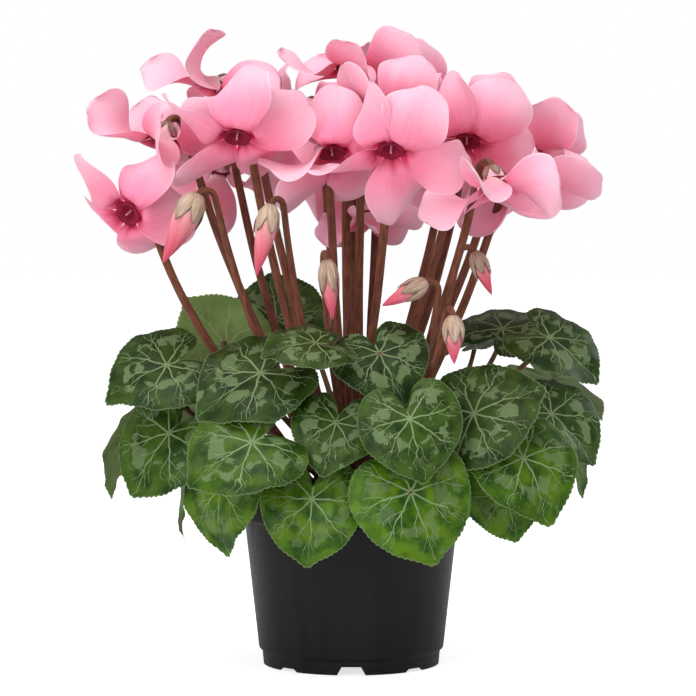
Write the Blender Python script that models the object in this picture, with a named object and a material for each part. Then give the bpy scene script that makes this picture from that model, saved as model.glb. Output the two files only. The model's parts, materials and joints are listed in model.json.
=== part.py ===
"""A potted cyclamen: pot, soil, tuber, and every leaf, flower and bud as one grown piece.

Units: the tables and constants are in millimetres; meshes are written in metres.
Frame: origin at the centre of the pot's foot, +Z up, the front of the plant faces -Y.
"""
import math

import bmesh
import bpy
import numpy as np
from mathutils import kdtree

MM = 0.001

# Pot: a nursery pot with a 120 mm rim.
RIM_RADIUS = 60.0
RIM_TOP = 87.0
RIM_BOTTOM = 72.5
RIM_LIP = 1.2
WALL = 1.3
SHOULDER_RADIUS = 53.2
STEP_RADIUS = 46.0
STEP_HEIGHT = 8.0
FOOT_RADIUS = 44.0
FLOOR_BOTTOM = 3.0
FLOOR_TOP = 4.4
POT_SEGMENTS = 40
NOTCHES = 8
NOTCH_HEIGHT = 5.0
NOTCH_SHALLOW = 1.6
NOTCH_HALF_TOP = 4.2
NOTCH_HALF_BOTTOM = 7.5
NOTCH_INNER = 37.0

# Soil and tuber turn on the same number of segments so that their faces run parallel.
FIT_GAP = 0.3
SOIL_SEGMENTS = 24
SOIL_EDGE = 79.0
SOIL_CROWN = 83.0
TUBER_RADIUS = 30.0
TUBER_MIDDLE = 81.0
TUBER_RISE = 15.0
TUBER_DROP = 20.0

# Stalks: five-sided tubes, so that a flower's five lobes grow from its corners.
SIDES = 5
STALK_RADIUS = 2.3
PETIOLE_RADIUS = 1.7
STALK_STEPS = 8
HOOK_RADIUS = 5.0
HOOK_STEPS = 4
CROWN_RADIUS = 26.5
CROWN_PITCH = 5.6

# Blades.
PETAL_THICK = 1.35
PETAL_STATIONS = (0.16, 0.38, 0.62, 0.86)
LEAF_THICK = 0.8
LEAF_FOLD = 0.22
LEAF_DROOP = 0.20
LEAF_TIP_DROOP = 0.10
LEAF_SIDE_DROOP = 0.14
LEAF_WAVE = 0.035
LEAF_ANGLES = (0, 26, 52, 80, 108, 132, 152, 167)
# The heart-shaped outline: reach at each angle from the tip, in leaf lengths.
HEART = ((0, 1.0), (22, 0.93), (45, 0.88), (75, 0.87), (105, 0.88), (130, 0.87), (150, 0.76),
         (163, 0.55), (172, 0.30), (180, 0.16))

# Settling: how near the pieces of two neighbours may come, and how often they are parted.
PETAL_ROOM = 2.9
LEAF_ROOM = 3.4
STALK_ROOM = 2.6
SETTLE_ROUNDS = 200

# Flowers: head place, direction the mouth faces, spin, petal length, sweep-back of the five petals,
# petal twist.
FLOWERS = (
    ((-103, -34, 227), (-0.45, -0.75, -0.45), 68, 35, (54, 5, 37, 45, 50), 25),
    ((-90, -18, 267), (-0.25, -0.35, -0.90), 13, 38, (50, -25, 5, 58, 45), 60),
    ((-60, 12, 292), (-0.65, -0.30, -0.65), 33, 38, (30, 5, -28, 30, 38), 76),
    ((-53, -57, 266), (-0.10, -0.52, -0.85), 17, 39, (40, 62, 22, -10, 28), 40),
    ((-23, 50, 281), (-0.25, -0.45, -0.85), 28, 36, (38, 4, 31, 50, 45), 60),
    ((-10, -36, 260), (0.10, -0.50, -0.86), 12, 37, (0, 74, -28, -26, 0), 44),
    ((-2, 8, 305), (0.05, -0.35, -0.93), 13, 35, (12, -25, 2, 25, 31), 60),
    ((8, -19, 283), (0.10, -0.35, -0.93), 31, 36, (36, 11, 7, 47, 45), 60),
    ((53, 27, 284), (-0.20, -0.35, -0.90), 24, 35, (36, -15, 8, 60, 60), 60),
    ((22, 65, 293), (0.02, -0.05, -1.00), -27, 40, (88, 68, 65, 79, 64), 34),
    ((55, -32, 265), (-0.05, -0.55, -0.83), 45, 38, (45, 62, 25, -10, 4), 44),
    ((86, 12, 264), (0.05, -0.30, -0.95), 59, 36, (25, -5, 20, 49, 41), 60),
    ((86, -11, 246), (0.30, -0.25, -0.92), 42, 37, (-21, -45, -17, 20, 7), 60),
    ((66, -64, 244), (0.20, -0.35, -0.92), 40, 36, (-35, -17, -12, 20, 21), 60),
    ((19, -67, 260), (-0.05, -0.55, -0.83), 58, 37, (28, 62, -5, -29, -8), 44),
    ((8, 25, 231), (0.10, -0.20, -0.97), 27, 25, (-10, -29, -26, -15, -10), 60),
    ((-66, 48, 254), (-0.30, 0.45, -0.85), 10, 36, (10, -20, 0, 40, 45), 60),
    ((-12, 82, 256), (0.05, 0.60, -0.80), 26, 36, (0, -20, 0, 40, 50), 60),
    ((64, 62, 252), (0.35, 0.45, -0.85), 36, 36, (-2, -18, 0, 40, 50), 60),
)
PETAL_WIDTH = 0.39
PETAL_ROOT = 2.7
FLOWER_TUBE = ((0.0, 2.3), (2.0, 4.4), (6.5, 5.2))
FLOWER_WAIST = (8.5, 4.8)
FLOWER_LIP = (10.5, 4.2)
FLOWER_MOUTH = 9.2

# Buds: head place, direction the tip points, length, girth.
BUDS = (
    ((-73, -62, 231), (-0.45, -0.15, -0.9), 36, 6.5),
    ((-38, -70, 226), (-0.20, -0.20, -1.0), 34, 5.2),
    ((-12, -62, 199), (0.10, -0.15, -1.0), 28, 4.4),
    ((35, -62, 190), (-0.85, -0.25, -0.45), 24, 4.6),
    ((47, -84, 174), (0.02, -0.20, -1.0), 22, 4.6),
    ((60, -34, 204), (0.35, -0.20, -0.9), 22, 4.0),
)

# Leaves: petiole's join with the blade, direction of the tip, upper face, length, sway.
LEAVES = (
    ((-89, -42, 150), (-0.90, -0.25, -0.30), (-0.20, -0.70, 0.70), 31, 0),
    ((-43, -65, 146.5), (-0.85, -0.35, -0.40), (-0.15, -0.65, 0.75), 34, 60),
    ((-16, -76, 160), (-0.80, -0.40, 0.00), (0.05, -0.45, 0.90), 25, 120),
    ((-63, 8, 158), (-0.60, 0.10, 0.75), (-0.35, 0.70, 0.55), 28, 30),
    ((-46, -88, 116), (-0.85, -0.35, -0.35), (-0.10, -0.75, 0.65), 33, 200),
    ((-7, -84, 127), (-0.25, -0.50, -0.80), (0.00, -0.80, 0.55), 24, 20),
    ((27, -88, 127), (0.22, -0.40, -0.90), (-0.05, -0.88, 0.45), 28, 90),
    ((58, -70, 128), (0.80, -0.15, 0.45), (-0.20, -0.75, 0.60), 33, 140),
    ((97, -20, 162), (0.80, -0.30, -0.45), (0.25, -0.60, 0.75), 29, 10),
    ((76, 14, 166), (0.45, 0.50, 0.35), (-0.10, -0.55, 0.85), 28, 80),
    ((96, -50, 128), (0.75, -0.30, -0.60), (0.35, -0.75, 0.55), 29, 230),
    ((80, -76, 108), (0.45, -0.40, -0.80), (0.15, -0.85, 0.50), 30, 310),
    ((72, -56, 93), (0.30, -0.10, -0.95), (0.25, -0.95, 0.10), 24, 50),
    ((28, -88, 93), (0.35, -0.25, -0.90), (0.05, -0.93, 0.35), 33, 170),
    ((-19, -84, 90), (-0.10, -0.35, -0.90), (-0.10, -0.93, 0.35), 29, 260),
    ((-64, -60, 95), (-0.15, -0.20, -0.97), (-0.70, -0.65, 0.25), 30, 350),
    ((-88, -40, 117), (-0.62, -0.20, -0.75), (-0.35, -0.75, 0.50), 33, 100),
    ((-112, 2, 112), (-0.50, 0.05, -0.85), (-0.85, 0.30, 0.50), 28, 180),
    ((-82, 2, 130), (-0.80, 0.30, -0.45), (-0.30, 0.20, 0.90), 25, 40),
    ((13, -70, 159), (0.35, -0.60, -0.65), (0.00, -0.70, 0.70), 27, 280),
    ((-38, 42, 170), (-0.15, 0.45, 0.85), (-0.10, -0.90, 0.35), 30, 75),
    ((96, 50, 102), (0.50, 0.30, -0.80), (0.80, 0.40, 0.45), 29, 220),
    ((103, 0, 112), (0.65, -0.20, -0.75), (0.75, -0.20, 0.65), 29, 300),
    ((-84, 18, 88), (-0.30, 0.05, -0.95), (-0.90, -0.10, 0.35), 26, 20),
    ((103, 32, 140), (0.85, 0.30, -0.40), (0.35, 0.25, 0.90), 32, 110),
    ((64, 62, 158), (0.60, 0.65, 0.25), (-0.25, -0.15, 0.95), 31, 200),
    ((66, 84, 120), (0.40, 0.60, -0.70), (0.40, 0.60, 0.75), 32, 290),
    ((12, 62, 154), (0.10, 0.90, 0.35), (0.00, -0.30, 0.95), 31, 15),
    ((6, 90, 116), (0.00, 0.65, -0.75), (0.00, 0.75, 0.65), 33, 95),
    ((-40, 60, 156), (-0.35, 0.80, 0.30), (0.10, -0.20, 0.95), 31, 175),
    ((-60, 84, 122), (-0.45, 0.55, -0.70), (-0.40, 0.60, 0.70), 32, 255),
    ((-92, 50, 150), (-0.85, 0.40, -0.25), (-0.25, 0.25, 0.95), 31, 335),
)

COLOURS = {
    "pot": (0.012, 0.012, 0.013, 0.42),
    "soil": (0.035, 0.022, 0.014, 0.95),
    "tuber": (0.13, 0.075, 0.045, 0.85),
    "leaf": (0.035, 0.10, 0.025, 0.45),
    "flower": (0.85, 0.32, 0.43, 0.5),
    "bud": (0.62, 0.42, 0.33, 0.6),
}


# ---------------------------------------------------------------- vectors and curves
def unit(vector):
    vector = np.asarray(vector, float)
    return vector / np.linalg.norm(vector)


def across(vector, axis):
    """The part of vector that is square to axis, as a unit vector."""
    vector = np.asarray(vector, float)
    return unit(vector - np.dot(vector, axis) * axis)


def bezier(start, lead, trail, end, count):
    t = np.linspace(0.0, 1.0, count)[:, None]
    return (start * (1 - t) ** 3 + 3 * lead * t * (1 - t) ** 2
            + 3 * trail * t * t * (1 - t) + end * t ** 3)


def smooth(t):
    t = np.clip(t, 0.0, 1.0)
    return t * t * (3 - 2 * t)


# ---------------------------------------------------------------- where stalks spring from
def crown_height(radius):
    return TUBER_MIDDLE + TUBER_RISE * math.sqrt(max(0.0, 1 - (radius / TUBER_RADIUS) ** 2))


def crown_spots(reaches):
    """Springing points on the tuber: each towards its own head, then spread to an even pitch."""
    spots = np.array(reaches, float)
    for _ in range(300):
        gap = spots[:, None] - spots[None]
        far = np.linalg.norm(gap, axis=2) + np.eye(len(spots)) * 99
        push = np.clip(CROWN_PITCH - far, 0, None) / far
        spots += 0.35 * (gap * push[:, :, None]).sum(axis=1)
        reach = np.linalg.norm(spots, axis=1)
        spots *= np.minimum(1.0, CROWN_RADIUS / np.maximum(reach, 1e-6))[:, None]
    return spots


def spring(spot, rise):
    """Start point on the crown, and the crown's own outward direction there."""
    radius = float(np.linalg.norm(spot))
    height = crown_height(radius)
    normal = unit((spot[0] / TUBER_RADIUS ** 2, spot[1] / TUBER_RADIUS ** 2,
                   (height - TUBER_MIDDLE) / TUBER_RISE ** 2))
    return np.array((spot[0], spot[1], height)) + normal * rise, normal


# ---------------------------------------------------------------- rest shapes
def hooked_path(head, axis, spot, steps, hook_steps):
    """Head first: back over the hook, then down to the crown."""
    base, normal = spring(spot, FIT_GAP)
    down = unit((-0.003 * head[0], -0.003 * head[1], -1.0))
    side = across(down, axis)
    turn = math.atan2(float(side @ down), -float(axis @ down))
    phi = np.linspace(0.0, turn, hook_steps + 1)[:, None]
    centre = head + side * HOOK_RADIUS
    arc = centre - side * HOOK_RADIUS * np.cos(phi) - axis * HOOK_RADIUS * np.sin(phi)
    leave = unit(side * math.sin(turn) - axis * math.cos(turn))
    run = np.linalg.norm(arc[-1] - base)
    drop = bezier(arc[-1], arc[-1] + leave * run * 0.5, base + normal * run * 0.3, base, steps + 1)
    return np.vstack((arc, drop[1:]))


def petal_line(flower, k):
    """Centre line of petal k, as fine samples: place, along, side and face vectors."""
    head, axis, spin, length, sweep, turn = flower
    right = across((1.0, 0.0, 0.0) if abs(axis[0]) < 0.9 else (0.0, 0.0, 1.0), axis)
    front = np.cross(axis, right)
    azimuth = math.radians(spin + 72.0 * k)
    radial = right * math.cos(azimuth) + front * math.sin(azimuth)
    u = np.linspace(0.0, 1.0, 41)
    angle = np.radians(-45.0 + (sweep[k] + 45.0) * smooth(u / 0.3) + 22.0 * u)
    along = radial * np.cos(angle)[:, None] - axis * np.sin(angle)[:, None]
    face = -radial * np.sin(angle)[:, None] - axis * np.cos(angle)[:, None]
    side = np.cross(along, face)
    twist = np.radians(turn * smooth(u * 1.2))[:, None]
    turned = side * np.cos(twist) + face * np.sin(twist)
    face = face * np.cos(twist) - side * np.sin(twist)
    steps = along * (length / 40.0)
    start = head + axis * FLOWER_WAIST[0] + radial * FLOWER_WAIST[1]
    places = start + np.vstack((np.zeros(3), np.cumsum((steps[1:] + steps[:-1]) / 2, axis=0)))
    return u, places, turned, face


def petal_half_width(u, length):
    full = PETAL_WIDTH * length
    grow = PETAL_ROOT + (full - PETAL_ROOT) * smooth(np.asarray(u) / 0.58) ** 0.85
    close = full * np.sqrt(np.clip(1 - ((np.asarray(u) - 0.58) / 0.42) ** 2, 0, 1))
    return np.where(np.asarray(u) < 0.58, grow, close)


def petal_point(flower, k, u, v):
    """A point of petal k: u runs from the mouth to the tip, v from edge to edge."""
    line, places, side, face = petal_line(flower, k)
    u = np.atleast_1d(np.asarray(u, float))
    v = np.atleast_1d(np.asarray(v, float))
    at = np.stack([np.interp(u, line, places[:, i]) for i in range(3)], axis=1)
    out = np.stack([np.interp(u, line, side[:, i]) for i in range(3)], axis=1)
    lift = np.stack([np.interp(u, line, face[:, i]) for i in range(3)], axis=1)
    half = petal_half_width(u, flower[3])
    cup = 0.22 * half * (1 - v ** 2)
    return at + out * (v * half)[:, None] - lift * cup[:, None], lift


def heart(angle):
    """Reach of the leaf outline at an angle from its tip, in degrees."""
    at = np.abs(np.asarray(angle, float))
    knots = np.array(HEART, float)
    low = np.clip(np.searchsorted(knots[:, 0], at, side="right") - 1, 0, len(knots) - 2)
    span = knots[low + 1, 0] - knots[low, 0]
    blend = (at - knots[low, 0]) / span
    return knots[low, 1] + (knots[low + 1, 1] - knots[low, 1]) * blend


def leaf_point(leaf, angle, reach):
    """A point of the blade, at an angle from the tip and a share of the outline's reach."""
    join, tip, upper, length, sway = leaf
    along = unit(tip)
    lift = across(upper, along)
    side = np.cross(lift, along)
    turn = np.radians(np.asarray(angle, float))
    out = heart(angle) * reach
    x = out * np.cos(turn)
    y = out * np.sin(turn)
    ridge = LEAF_FOLD * (np.sqrt(y * y + 0.01) - 0.1)
    droop = LEAF_DROOP * out ** 2 + LEAF_SIDE_DROOP * y * y
    droop += LEAF_TIP_DROOP * np.clip(x, 0, None) ** 2
    wave = LEAF_WAVE * reach ** 2 * np.sin(3 * turn + math.radians(sway))
    z = ridge - droop + wave
    return (np.array(join, float) + length * (x[:, None] * along + y[:, None] * side
                                              + z[:, None] * lift))


def petiole_path(leaf, spot, steps):
    join, tip, upper, length, _ = leaf
    along = unit(tip)
    lift = across(upper, along)
    join = np.array(join, float) + along * 1.0 - lift * LEAF_THICK
    arrive = unit(0.75 * lift + 0.55 * along + np.array((0.0, 0.0, 0.35)))
    base, normal = spring(spot, FIT_GAP)
    run = np.linalg.norm(join - base) * 0.38
    return bezier(join, join - arrive * run, base + normal * run, base, steps + 1)


# ---------------------------------------------------------------- settling
def flower_knots(flower, spot):
    """Points that stand for a flower while it settles: place and room of each."""
    path = hooked_path(flower[0], flower[1], spot, 17, 3)
    knots = [path]
    rooms = [STALK_ROOM] * len(path)
    for k in range(SIDES):
        u = np.repeat((0.2, 0.4, 0.6, 0.8, 0.98), 3)
        v = np.tile((-0.85, 0.0, 0.85), 5)
        knots.append(petal_point(flower, k, u, v)[0])
        rooms += [PETAL_ROOM] * len(u)
    return np.vstack(knots), rooms, len(path) - 1


def bud_knots(bud, spot):
    path = hooked_path(bud[0], bud[1], spot, 17, 3)
    shares = (0.2, 0.5, 0.8, 1.0)
    body = np.array([bud[0] + bud[1] * bud[2] * share for share in shares])
    return np.vstack((path, body)), [STALK_ROOM] * len(path) + [bud[3]] * 4, len(path) - 1


def leaf_knots(leaf, spot):
    path = petiole_path(leaf, spot, 17)[1:]
    angles = np.concatenate(([0.0], np.arange(6) * 60.0 - 150, np.arange(12) * 30.0 - 165,
                             np.arange(18) * 20.0 - 170))
    reaches = np.repeat((0.0, 0.36, 0.68, 0.97), (1, 6, 12, 18))
    blade = leaf_point(leaf, angles, reaches)
    rooms = [STALK_ROOM * 0.8] * len(path) + [LEAF_ROOM] * len(blade)
    return np.vstack((path, blade)), rooms, len(path) - 1


def neighbour_table(pieces, starts):
    """The six nearest knots of the same piece, for keeping each piece stiff."""
    rows = []
    for (knots, _, _), start in zip(pieces, starts):
        gap = np.linalg.norm(knots[:, None] - knots[None], axis=2)
        rows.append(np.argsort(gap, axis=1)[:, 1:7] + start)
    return np.vstack(rows)


def close_pairs(places, owner, reach):
    tree = kdtree.KDTree(len(places))
    for i, place in enumerate(places):
        tree.insert(place, i)
    tree.balance()
    pairs = []
    for i, place in enumerate(places):
        for _, j, _ in tree.find_range(place, reach):
            if j > i and owner[i] != owner[j]:
                pairs.append((i, j))
    return np.array(pairs, int).reshape(-1, 2)


def keep_off_pot(places):
    """Lift or move out any knot that is down in the pot or against its rim."""
    radius = np.linalg.norm(places[:, :2], axis=1)
    top = RIM_TOP + 4.0
    side = RIM_RADIUS + 4.0
    inside = (places[:, 2] < top) & (radius < side) & (radius > CROWN_RADIUS + 4)
    up = top - places[:, 2]
    out = side - radius
    lift = inside & (up <= out)
    shove = inside & (up > out)
    move = np.zeros_like(places)
    move[lift, 2] = up[lift]
    move[shove, :2] = places[shove, :2] / radius[shove, None] * out[shove, None]
    return move


def settle(pieces):
    """Part pieces that press on each other; each keeps its foot and bends smoothly."""
    rest = np.vstack([knots for knots, _, _ in pieces])
    room = np.concatenate([rooms for _, rooms, _ in pieces])
    owner = np.concatenate([[i] * len(p[0]) for i, p in enumerate(pieces)])
    starts = np.cumsum([0] + [len(p[0]) for p in pieces])
    feet = np.array([starts[i] + p[2] for i, p in enumerate(pieces)])
    table = neighbour_table(pieces, starts)
    moved = np.zeros_like(rest)
    pairs = np.zeros((0, 2), int)
    for turn in range(SETTLE_ROUNDS):
        places = rest + moved
        if turn % 5 == 0:
            pairs = close_pairs(places, owner, 2.6 * max(PETAL_ROOM, LEAF_ROOM))
        first, second = pairs[:, 0], pairs[:, 1]
        gap = places[first] - places[second]
        far = np.maximum(np.linalg.norm(gap, axis=1), 0.01)
        press = np.clip(room[first] + room[second] - far, 0, None)
        push = gap * (0.5 * press / far)[:, None]
        step = np.zeros_like(rest)
        np.add.at(step, first, push)
        np.add.at(step, second, -push)
        step += keep_off_pot(places)
        moved += 0.7 * np.clip(step, -3.0, 3.0)
        for _ in range(3):
            moved = 0.55 * moved + 0.45 * moved[table].mean(axis=1)
            moved[feet] = 0.0
    return [(rest[starts[i]:starts[i + 1]], moved[starts[i]:starts[i + 1]])
            for i in range(len(pieces))]


def bent(points, field):
    """Carry points along with the settled knots of their own piece."""
    rest, moved = field
    points = np.atleast_2d(points)
    gap = ((points[:, None] - rest[None]) ** 2).sum(axis=2)
    weight = 1.0 / (gap + 6.0) ** 2
    return points + (weight[:, :, None] * moved[None]).sum(axis=1) / weight.sum(axis=1)[:, None]


# ---------------------------------------------------------------- meshes
class Shell:
    """Vertices and faces of one closed piece, in millimetres."""

    def __init__(self):
        self.points = []
        self.faces = []

    def add(self, points):
        first = len(self.points)
        self.points.extend(np.atleast_2d(points))
        return list(range(first, len(self.points)))

    def bridge(self, lower, upper):
        count = len(lower)
        for i in range(count):
            j = (i + 1) % count
            self.faces.append((lower[i], lower[j], upper[j], upper[i]))

    def fan(self, ring, tip):
        for i in range(len(ring)):
            self.faces.append((ring[i], ring[(i + 1) % len(ring)], tip))


def tube_rings(path, radii, first_side):
    """Rings round a path that don't twist, the first turned towards first_side."""
    tangents = np.gradient(path, axis=0)
    tangents /= np.linalg.norm(tangents, axis=1)[:, None]
    side = across(first_side, tangents[0])
    rings = []
    for place, tangent, radius in zip(path, tangents, radii):
        side = across(side, tangent)
        other = np.cross(side, tangent)
        turn = np.arange(SIDES) * 2 * math.pi / SIDES
        rings.append(place + radius * (np.cos(turn)[:, None] * side
                                       + np.sin(turn)[:, None] * other))
    return rings


def add_stalk(shell, top_ring, path, radii, first_side, field):
    """A tube from top_ring down the path, closed at the crown."""
    last = top_ring
    for ring in tube_rings(path, radii, first_side)[1:]:
        next_ring = shell.add(bent(ring, field))
        shell.bridge(last, next_ring)
        last = next_ring
    shell.faces.append(tuple(last))


def petal_shell(shell, flower, k, root, field):
    """Loft one petal from its root of four corners: one side, upper, other side, lower."""
    last = root
    for u in PETAL_STATIONS:
        edge, _ = petal_point(flower, k, (u, u), (-1.0, 1.0))
        middle, face = petal_point(flower, k, u, 0.0)
        upper = middle[0] + face[0] * PETAL_THICK / 2
        lower = middle[0] - face[0] * PETAL_THICK / 2
        ring = shell.add(bent(np.array((edge[0], upper, edge[1], lower)), field))
        shell.bridge(last, ring)
        last = ring
    tip = shell.add(bent(petal_point(flower, k, 1.0, 0.0)[0], field))[0]
    shell.fan(last, tip)


def flower_mesh(flower, spot, field):
    head, axis, spin = flower[:3]
    right = across((1.0, 0.0, 0.0) if abs(axis[0]) < 0.9 else (0.0, 0.0, 1.0), axis)
    front = np.cross(axis, right)

    def ring(height, radius, offset):
        turn = np.radians(spin + 72.0 * np.arange(SIDES) + offset)
        spokes = np.cos(turn)[:, None] * right + np.sin(turn)[:, None] * front
        return bent(head + axis * height + radius * spokes, field)

    shell = Shell()
    rings = [shell.add(ring(h, r, 0.0)) for h, r in FLOWER_TUBE]
    shell.bridge(rings[1], rings[0])
    shell.bridge(rings[2], rings[1])
    waist = shell.add(ring(*FLOWER_WAIST, -36.0))
    lip = shell.add(ring(*FLOWER_LIP, 0.0))
    mouth = shell.add(bent(head + axis * FLOWER_MOUTH, field))[0]
    for k in range(SIDES):
        after = (k + 1) % SIDES
        shell.faces.append((rings[2][k], rings[2][after], waist[after]))
        shell.faces.append((lip[k], waist[after], lip[after]))
        petal_shell(shell, flower, k, [waist[k], rings[2][k], waist[after], lip[k]], field)
    shell.fan(lip, mouth)
    path = hooked_path(head, axis, spot, STALK_STEPS, HOOK_STEPS)
    radii = np.linspace(STALK_RADIUS * 0.92, STALK_RADIUS, len(path))
    turn = math.radians(spin)
    add_stalk(shell, rings[0], path, radii, right * math.cos(turn) + front * math.sin(turn), field)
    return shell


def bud_mesh(bud, spot, field):
    head, axis, length, girth = bud
    right = across((1.0, 0.0, 0.0), axis)
    front = np.cross(axis, right)
    shell = Shell()
    last = None
    profile = ((0.0, STALK_RADIUS * 0.85), (0.07, girth * 0.8), (0.26, girth), (0.5, girth * 0.86),
               (0.78, girth * 0.5))
    first = None
    for share, radius in profile:
        turn = np.arange(SIDES) * 2 * math.pi / SIDES + 1.1 * share
        spokes = np.cos(turn)[:, None] * right + np.sin(turn)[:, None] * front
        ring = shell.add(bent(head + axis * length * share + radius * spokes, field))
        if last is None:
            first = ring
        else:
            shell.bridge(last, ring)
        last = ring
    shell.fan(last, shell.add(bent(head + axis * length, field))[0])
    path = hooked_path(head, axis, spot, STALK_STEPS, HOOK_STEPS)
    radii = np.linspace(STALK_RADIUS * 0.85, STALK_RADIUS * 0.95, len(path))
    add_stalk(shell, first, path, radii, right, field)
    return shell


def leaf_mesh(leaf, spot, field):
    angles = np.array([-a for a in reversed(LEAF_ANGLES[1:])] + list(LEAF_ANGLES) + [180.0])
    count = len(angles)
    along = unit(leaf[1])
    lift = across(leaf[2], along)
    shell = Shell()
    rim = shell.add(bent(leaf_point(leaf, angles, np.ones(count)), field))
    inner = leaf_point(leaf, angles, np.full(count, 0.52))
    top = shell.add(bent(inner, field))
    under = shell.add(bent(inner - lift * LEAF_THICK, field))
    centre = shell.add(bent(leaf_point(leaf, np.zeros(1), np.zeros(1)), field))[0]
    shell.bridge(top, rim)
    shell.bridge(rim, under)
    shell.fan(top, centre)
    path = petiole_path(leaf, spot, STALK_STEPS)
    radii = np.linspace(PETIOLE_RADIUS * 0.8, PETIOLE_RADIUS, len(path))
    hub_ring = tube_rings(path, radii, along)[0]
    hub = shell.add(bent(hub_ring, field))
    zip_rings(shell, under, angles, hub, hub_ring - np.array(leaf[0], float), along, lift)
    add_stalk(shell, hub, path, radii, along, field)
    return shell


def zip_rings(shell, outer, outer_angles, inner, inner_offsets, along, lift):
    """Join a ring of many points to a ring of few, by their angle round the leaf."""
    side = np.cross(lift, along)
    turn = np.degrees(np.arctan2(inner_offsets @ side, (inner_offsets - along) @ along)) % 360
    order = np.argsort(turn)
    few = [inner[i] for i in order]
    few_at = turn[order]
    many_at = np.asarray(outer_angles) % 360
    order = np.argsort(many_at)
    many = [outer[i] for i in order]
    many_at = many_at[order]
    i, j = 0, 0
    while i < len(many) or j < len(few):
        next_many = many_at[i + 1] if i + 1 < len(many) else many_at[0] + 360
        next_few = few_at[j + 1] if j + 1 < len(few) else few_at[0] + 360
        a, b = many[i % len(many)], few[j % len(few)]
        if j == len(few) or (i < len(many) and next_many <= next_few):
            shell.faces.append((a, many[(i + 1) % len(many)], b))
            i += 1
        else:
            shell.faces.append((a, few[(j + 1) % len(few)], b))
            j += 1


# ---------------------------------------------------------------- Blender objects
def material(kind, name):
    red, green, blue, rough = COLOURS[kind]
    shade = bpy.data.materials.new(name)
    shade.use_nodes = True
    shader = shade.node_tree.nodes["Principled BSDF"]
    shader.inputs["Base Color"].default_value = (red, green, blue, 1.0)
    shader.inputs["Roughness"].default_value = rough
    shader.inputs["Metallic"].default_value = 0.0
    return shade


def add_object(name, shell, kind):
    mesh = bpy.data.meshes.new(name)
    points = [tuple(float(c) * MM for c in point) for point in shell.points]
    mesh.from_pydata(points, [], shell.faces)
    work = bmesh.new()
    work.from_mesh(mesh)
    bmesh.ops.recalc_face_normals(work, faces=work.faces)
    if work.calc_volume(signed=True) < 0:
        bmesh.ops.reverse_faces(work, faces=work.faces)
    work.to_mesh(mesh)
    work.free()
    mesh.polygons.foreach_set("use_smooth", [True] * len(mesh.polygons))
    obj = bpy.data.objects.new(name, mesh)
    bpy.context.scene.collection.objects.link(obj)
    mesh.materials.append(material(kind, name))
    return obj


def turned(profile, segments):
    """A closed solid of revolution; points on the axis become a single vertex."""
    shell = Shell()
    turn = np.arange(segments) * 2 * math.pi / segments
    rings = []
    for radius, height in profile:
        if radius == 0:
            rings.append(shell.add((0.0, 0.0, height)))
        else:
            ring = np.stack((radius * np.cos(turn), radius * np.sin(turn),
                             np.full(segments, height)), axis=1)
            rings.append(shell.add(ring))
    for lower, upper in zip(rings, rings[1:]):
        if len(lower) == 1:
            shell.fan(upper, lower[0])
        elif len(upper) == 1:
            shell.fan(lower, upper[0])
        else:
            shell.bridge(lower, upper)
    if len(rings[0]) > 1:
        shell.bridge(rings[-1], rings[0])
    return shell


def wall_radius(height):
    """Outer radius of the tapering wall at a height."""
    share = (height - STEP_HEIGHT) / (RIM_BOTTOM - 1.0 - STEP_HEIGHT)
    return STEP_RADIUS + (SHOULDER_RADIUS - STEP_RADIUS) * share


def pot_profile():
    under = FOOT_RADIUS - WALL
    outer = [(0, FLOOR_BOTTOM), (under - 0.4, FLOOR_BOTTOM), (under, 0), (FOOT_RADIUS, 0),
             (FOOT_RADIUS + 0.3, STEP_HEIGHT - 1.2), (STEP_RADIUS, STEP_HEIGHT),
             (SHOULDER_RADIUS, RIM_BOTTOM - 0.5), (RIM_RADIUS - 1.4, RIM_BOTTOM),
             (RIM_RADIUS, RIM_BOTTOM + 1.6), (RIM_RADIUS, RIM_TOP - 1.0),
             (RIM_RADIUS - 0.8, RIM_TOP)]
    inner = [(RIM_RADIUS - RIM_LIP - 0.8, RIM_TOP), (RIM_RADIUS - RIM_LIP - 0.6, RIM_BOTTOM + 2.4),
             (SHOULDER_RADIUS - WALL, RIM_BOTTOM + 1.0), (STEP_RADIUS - WALL, STEP_HEIGHT + 0.6),
             (FOOT_RADIUS - WALL, FLOOR_TOP + 1.6), (FOOT_RADIUS - WALL - 1.2, FLOOR_TOP),
             (0, FLOOR_TOP)]
    return outer + inner


def notch_cutter(index):
    """A wedge block that opens the foot and the edge of the floor."""
    outer = FOOT_RADIUS + 6
    height = NOTCH_SHALLOW if index % 2 else NOTCH_HEIGHT
    corners = []
    for x in (NOTCH_INNER, outer):
        for y, z in ((-NOTCH_HALF_BOTTOM, -1.0), (NOTCH_HALF_BOTTOM, -1.0),
                     (NOTCH_HALF_TOP, height), (-NOTCH_HALF_TOP, height)):
            corners.append((x, y, z))
    shell = Shell()
    turn = math.radians(-90.0 + index * 360.0 / NOTCHES)
    cos, sin = math.cos(turn), math.sin(turn)
    points = [(x * cos - y * sin, x * sin + y * cos, z) for x, y, z in corners]
    near = shell.add(np.array(points[:4]))
    far = shell.add(np.array(points[4:]))
    shell.bridge(near, far)
    shell.faces.append(tuple(reversed(near)))
    shell.faces.append(tuple(far))
    cutter = add_object(f"cutter_{index}", shell, "pot")
    cutter.hide_render = True
    cutter.display_type = "WIRE"
    return cutter


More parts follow.
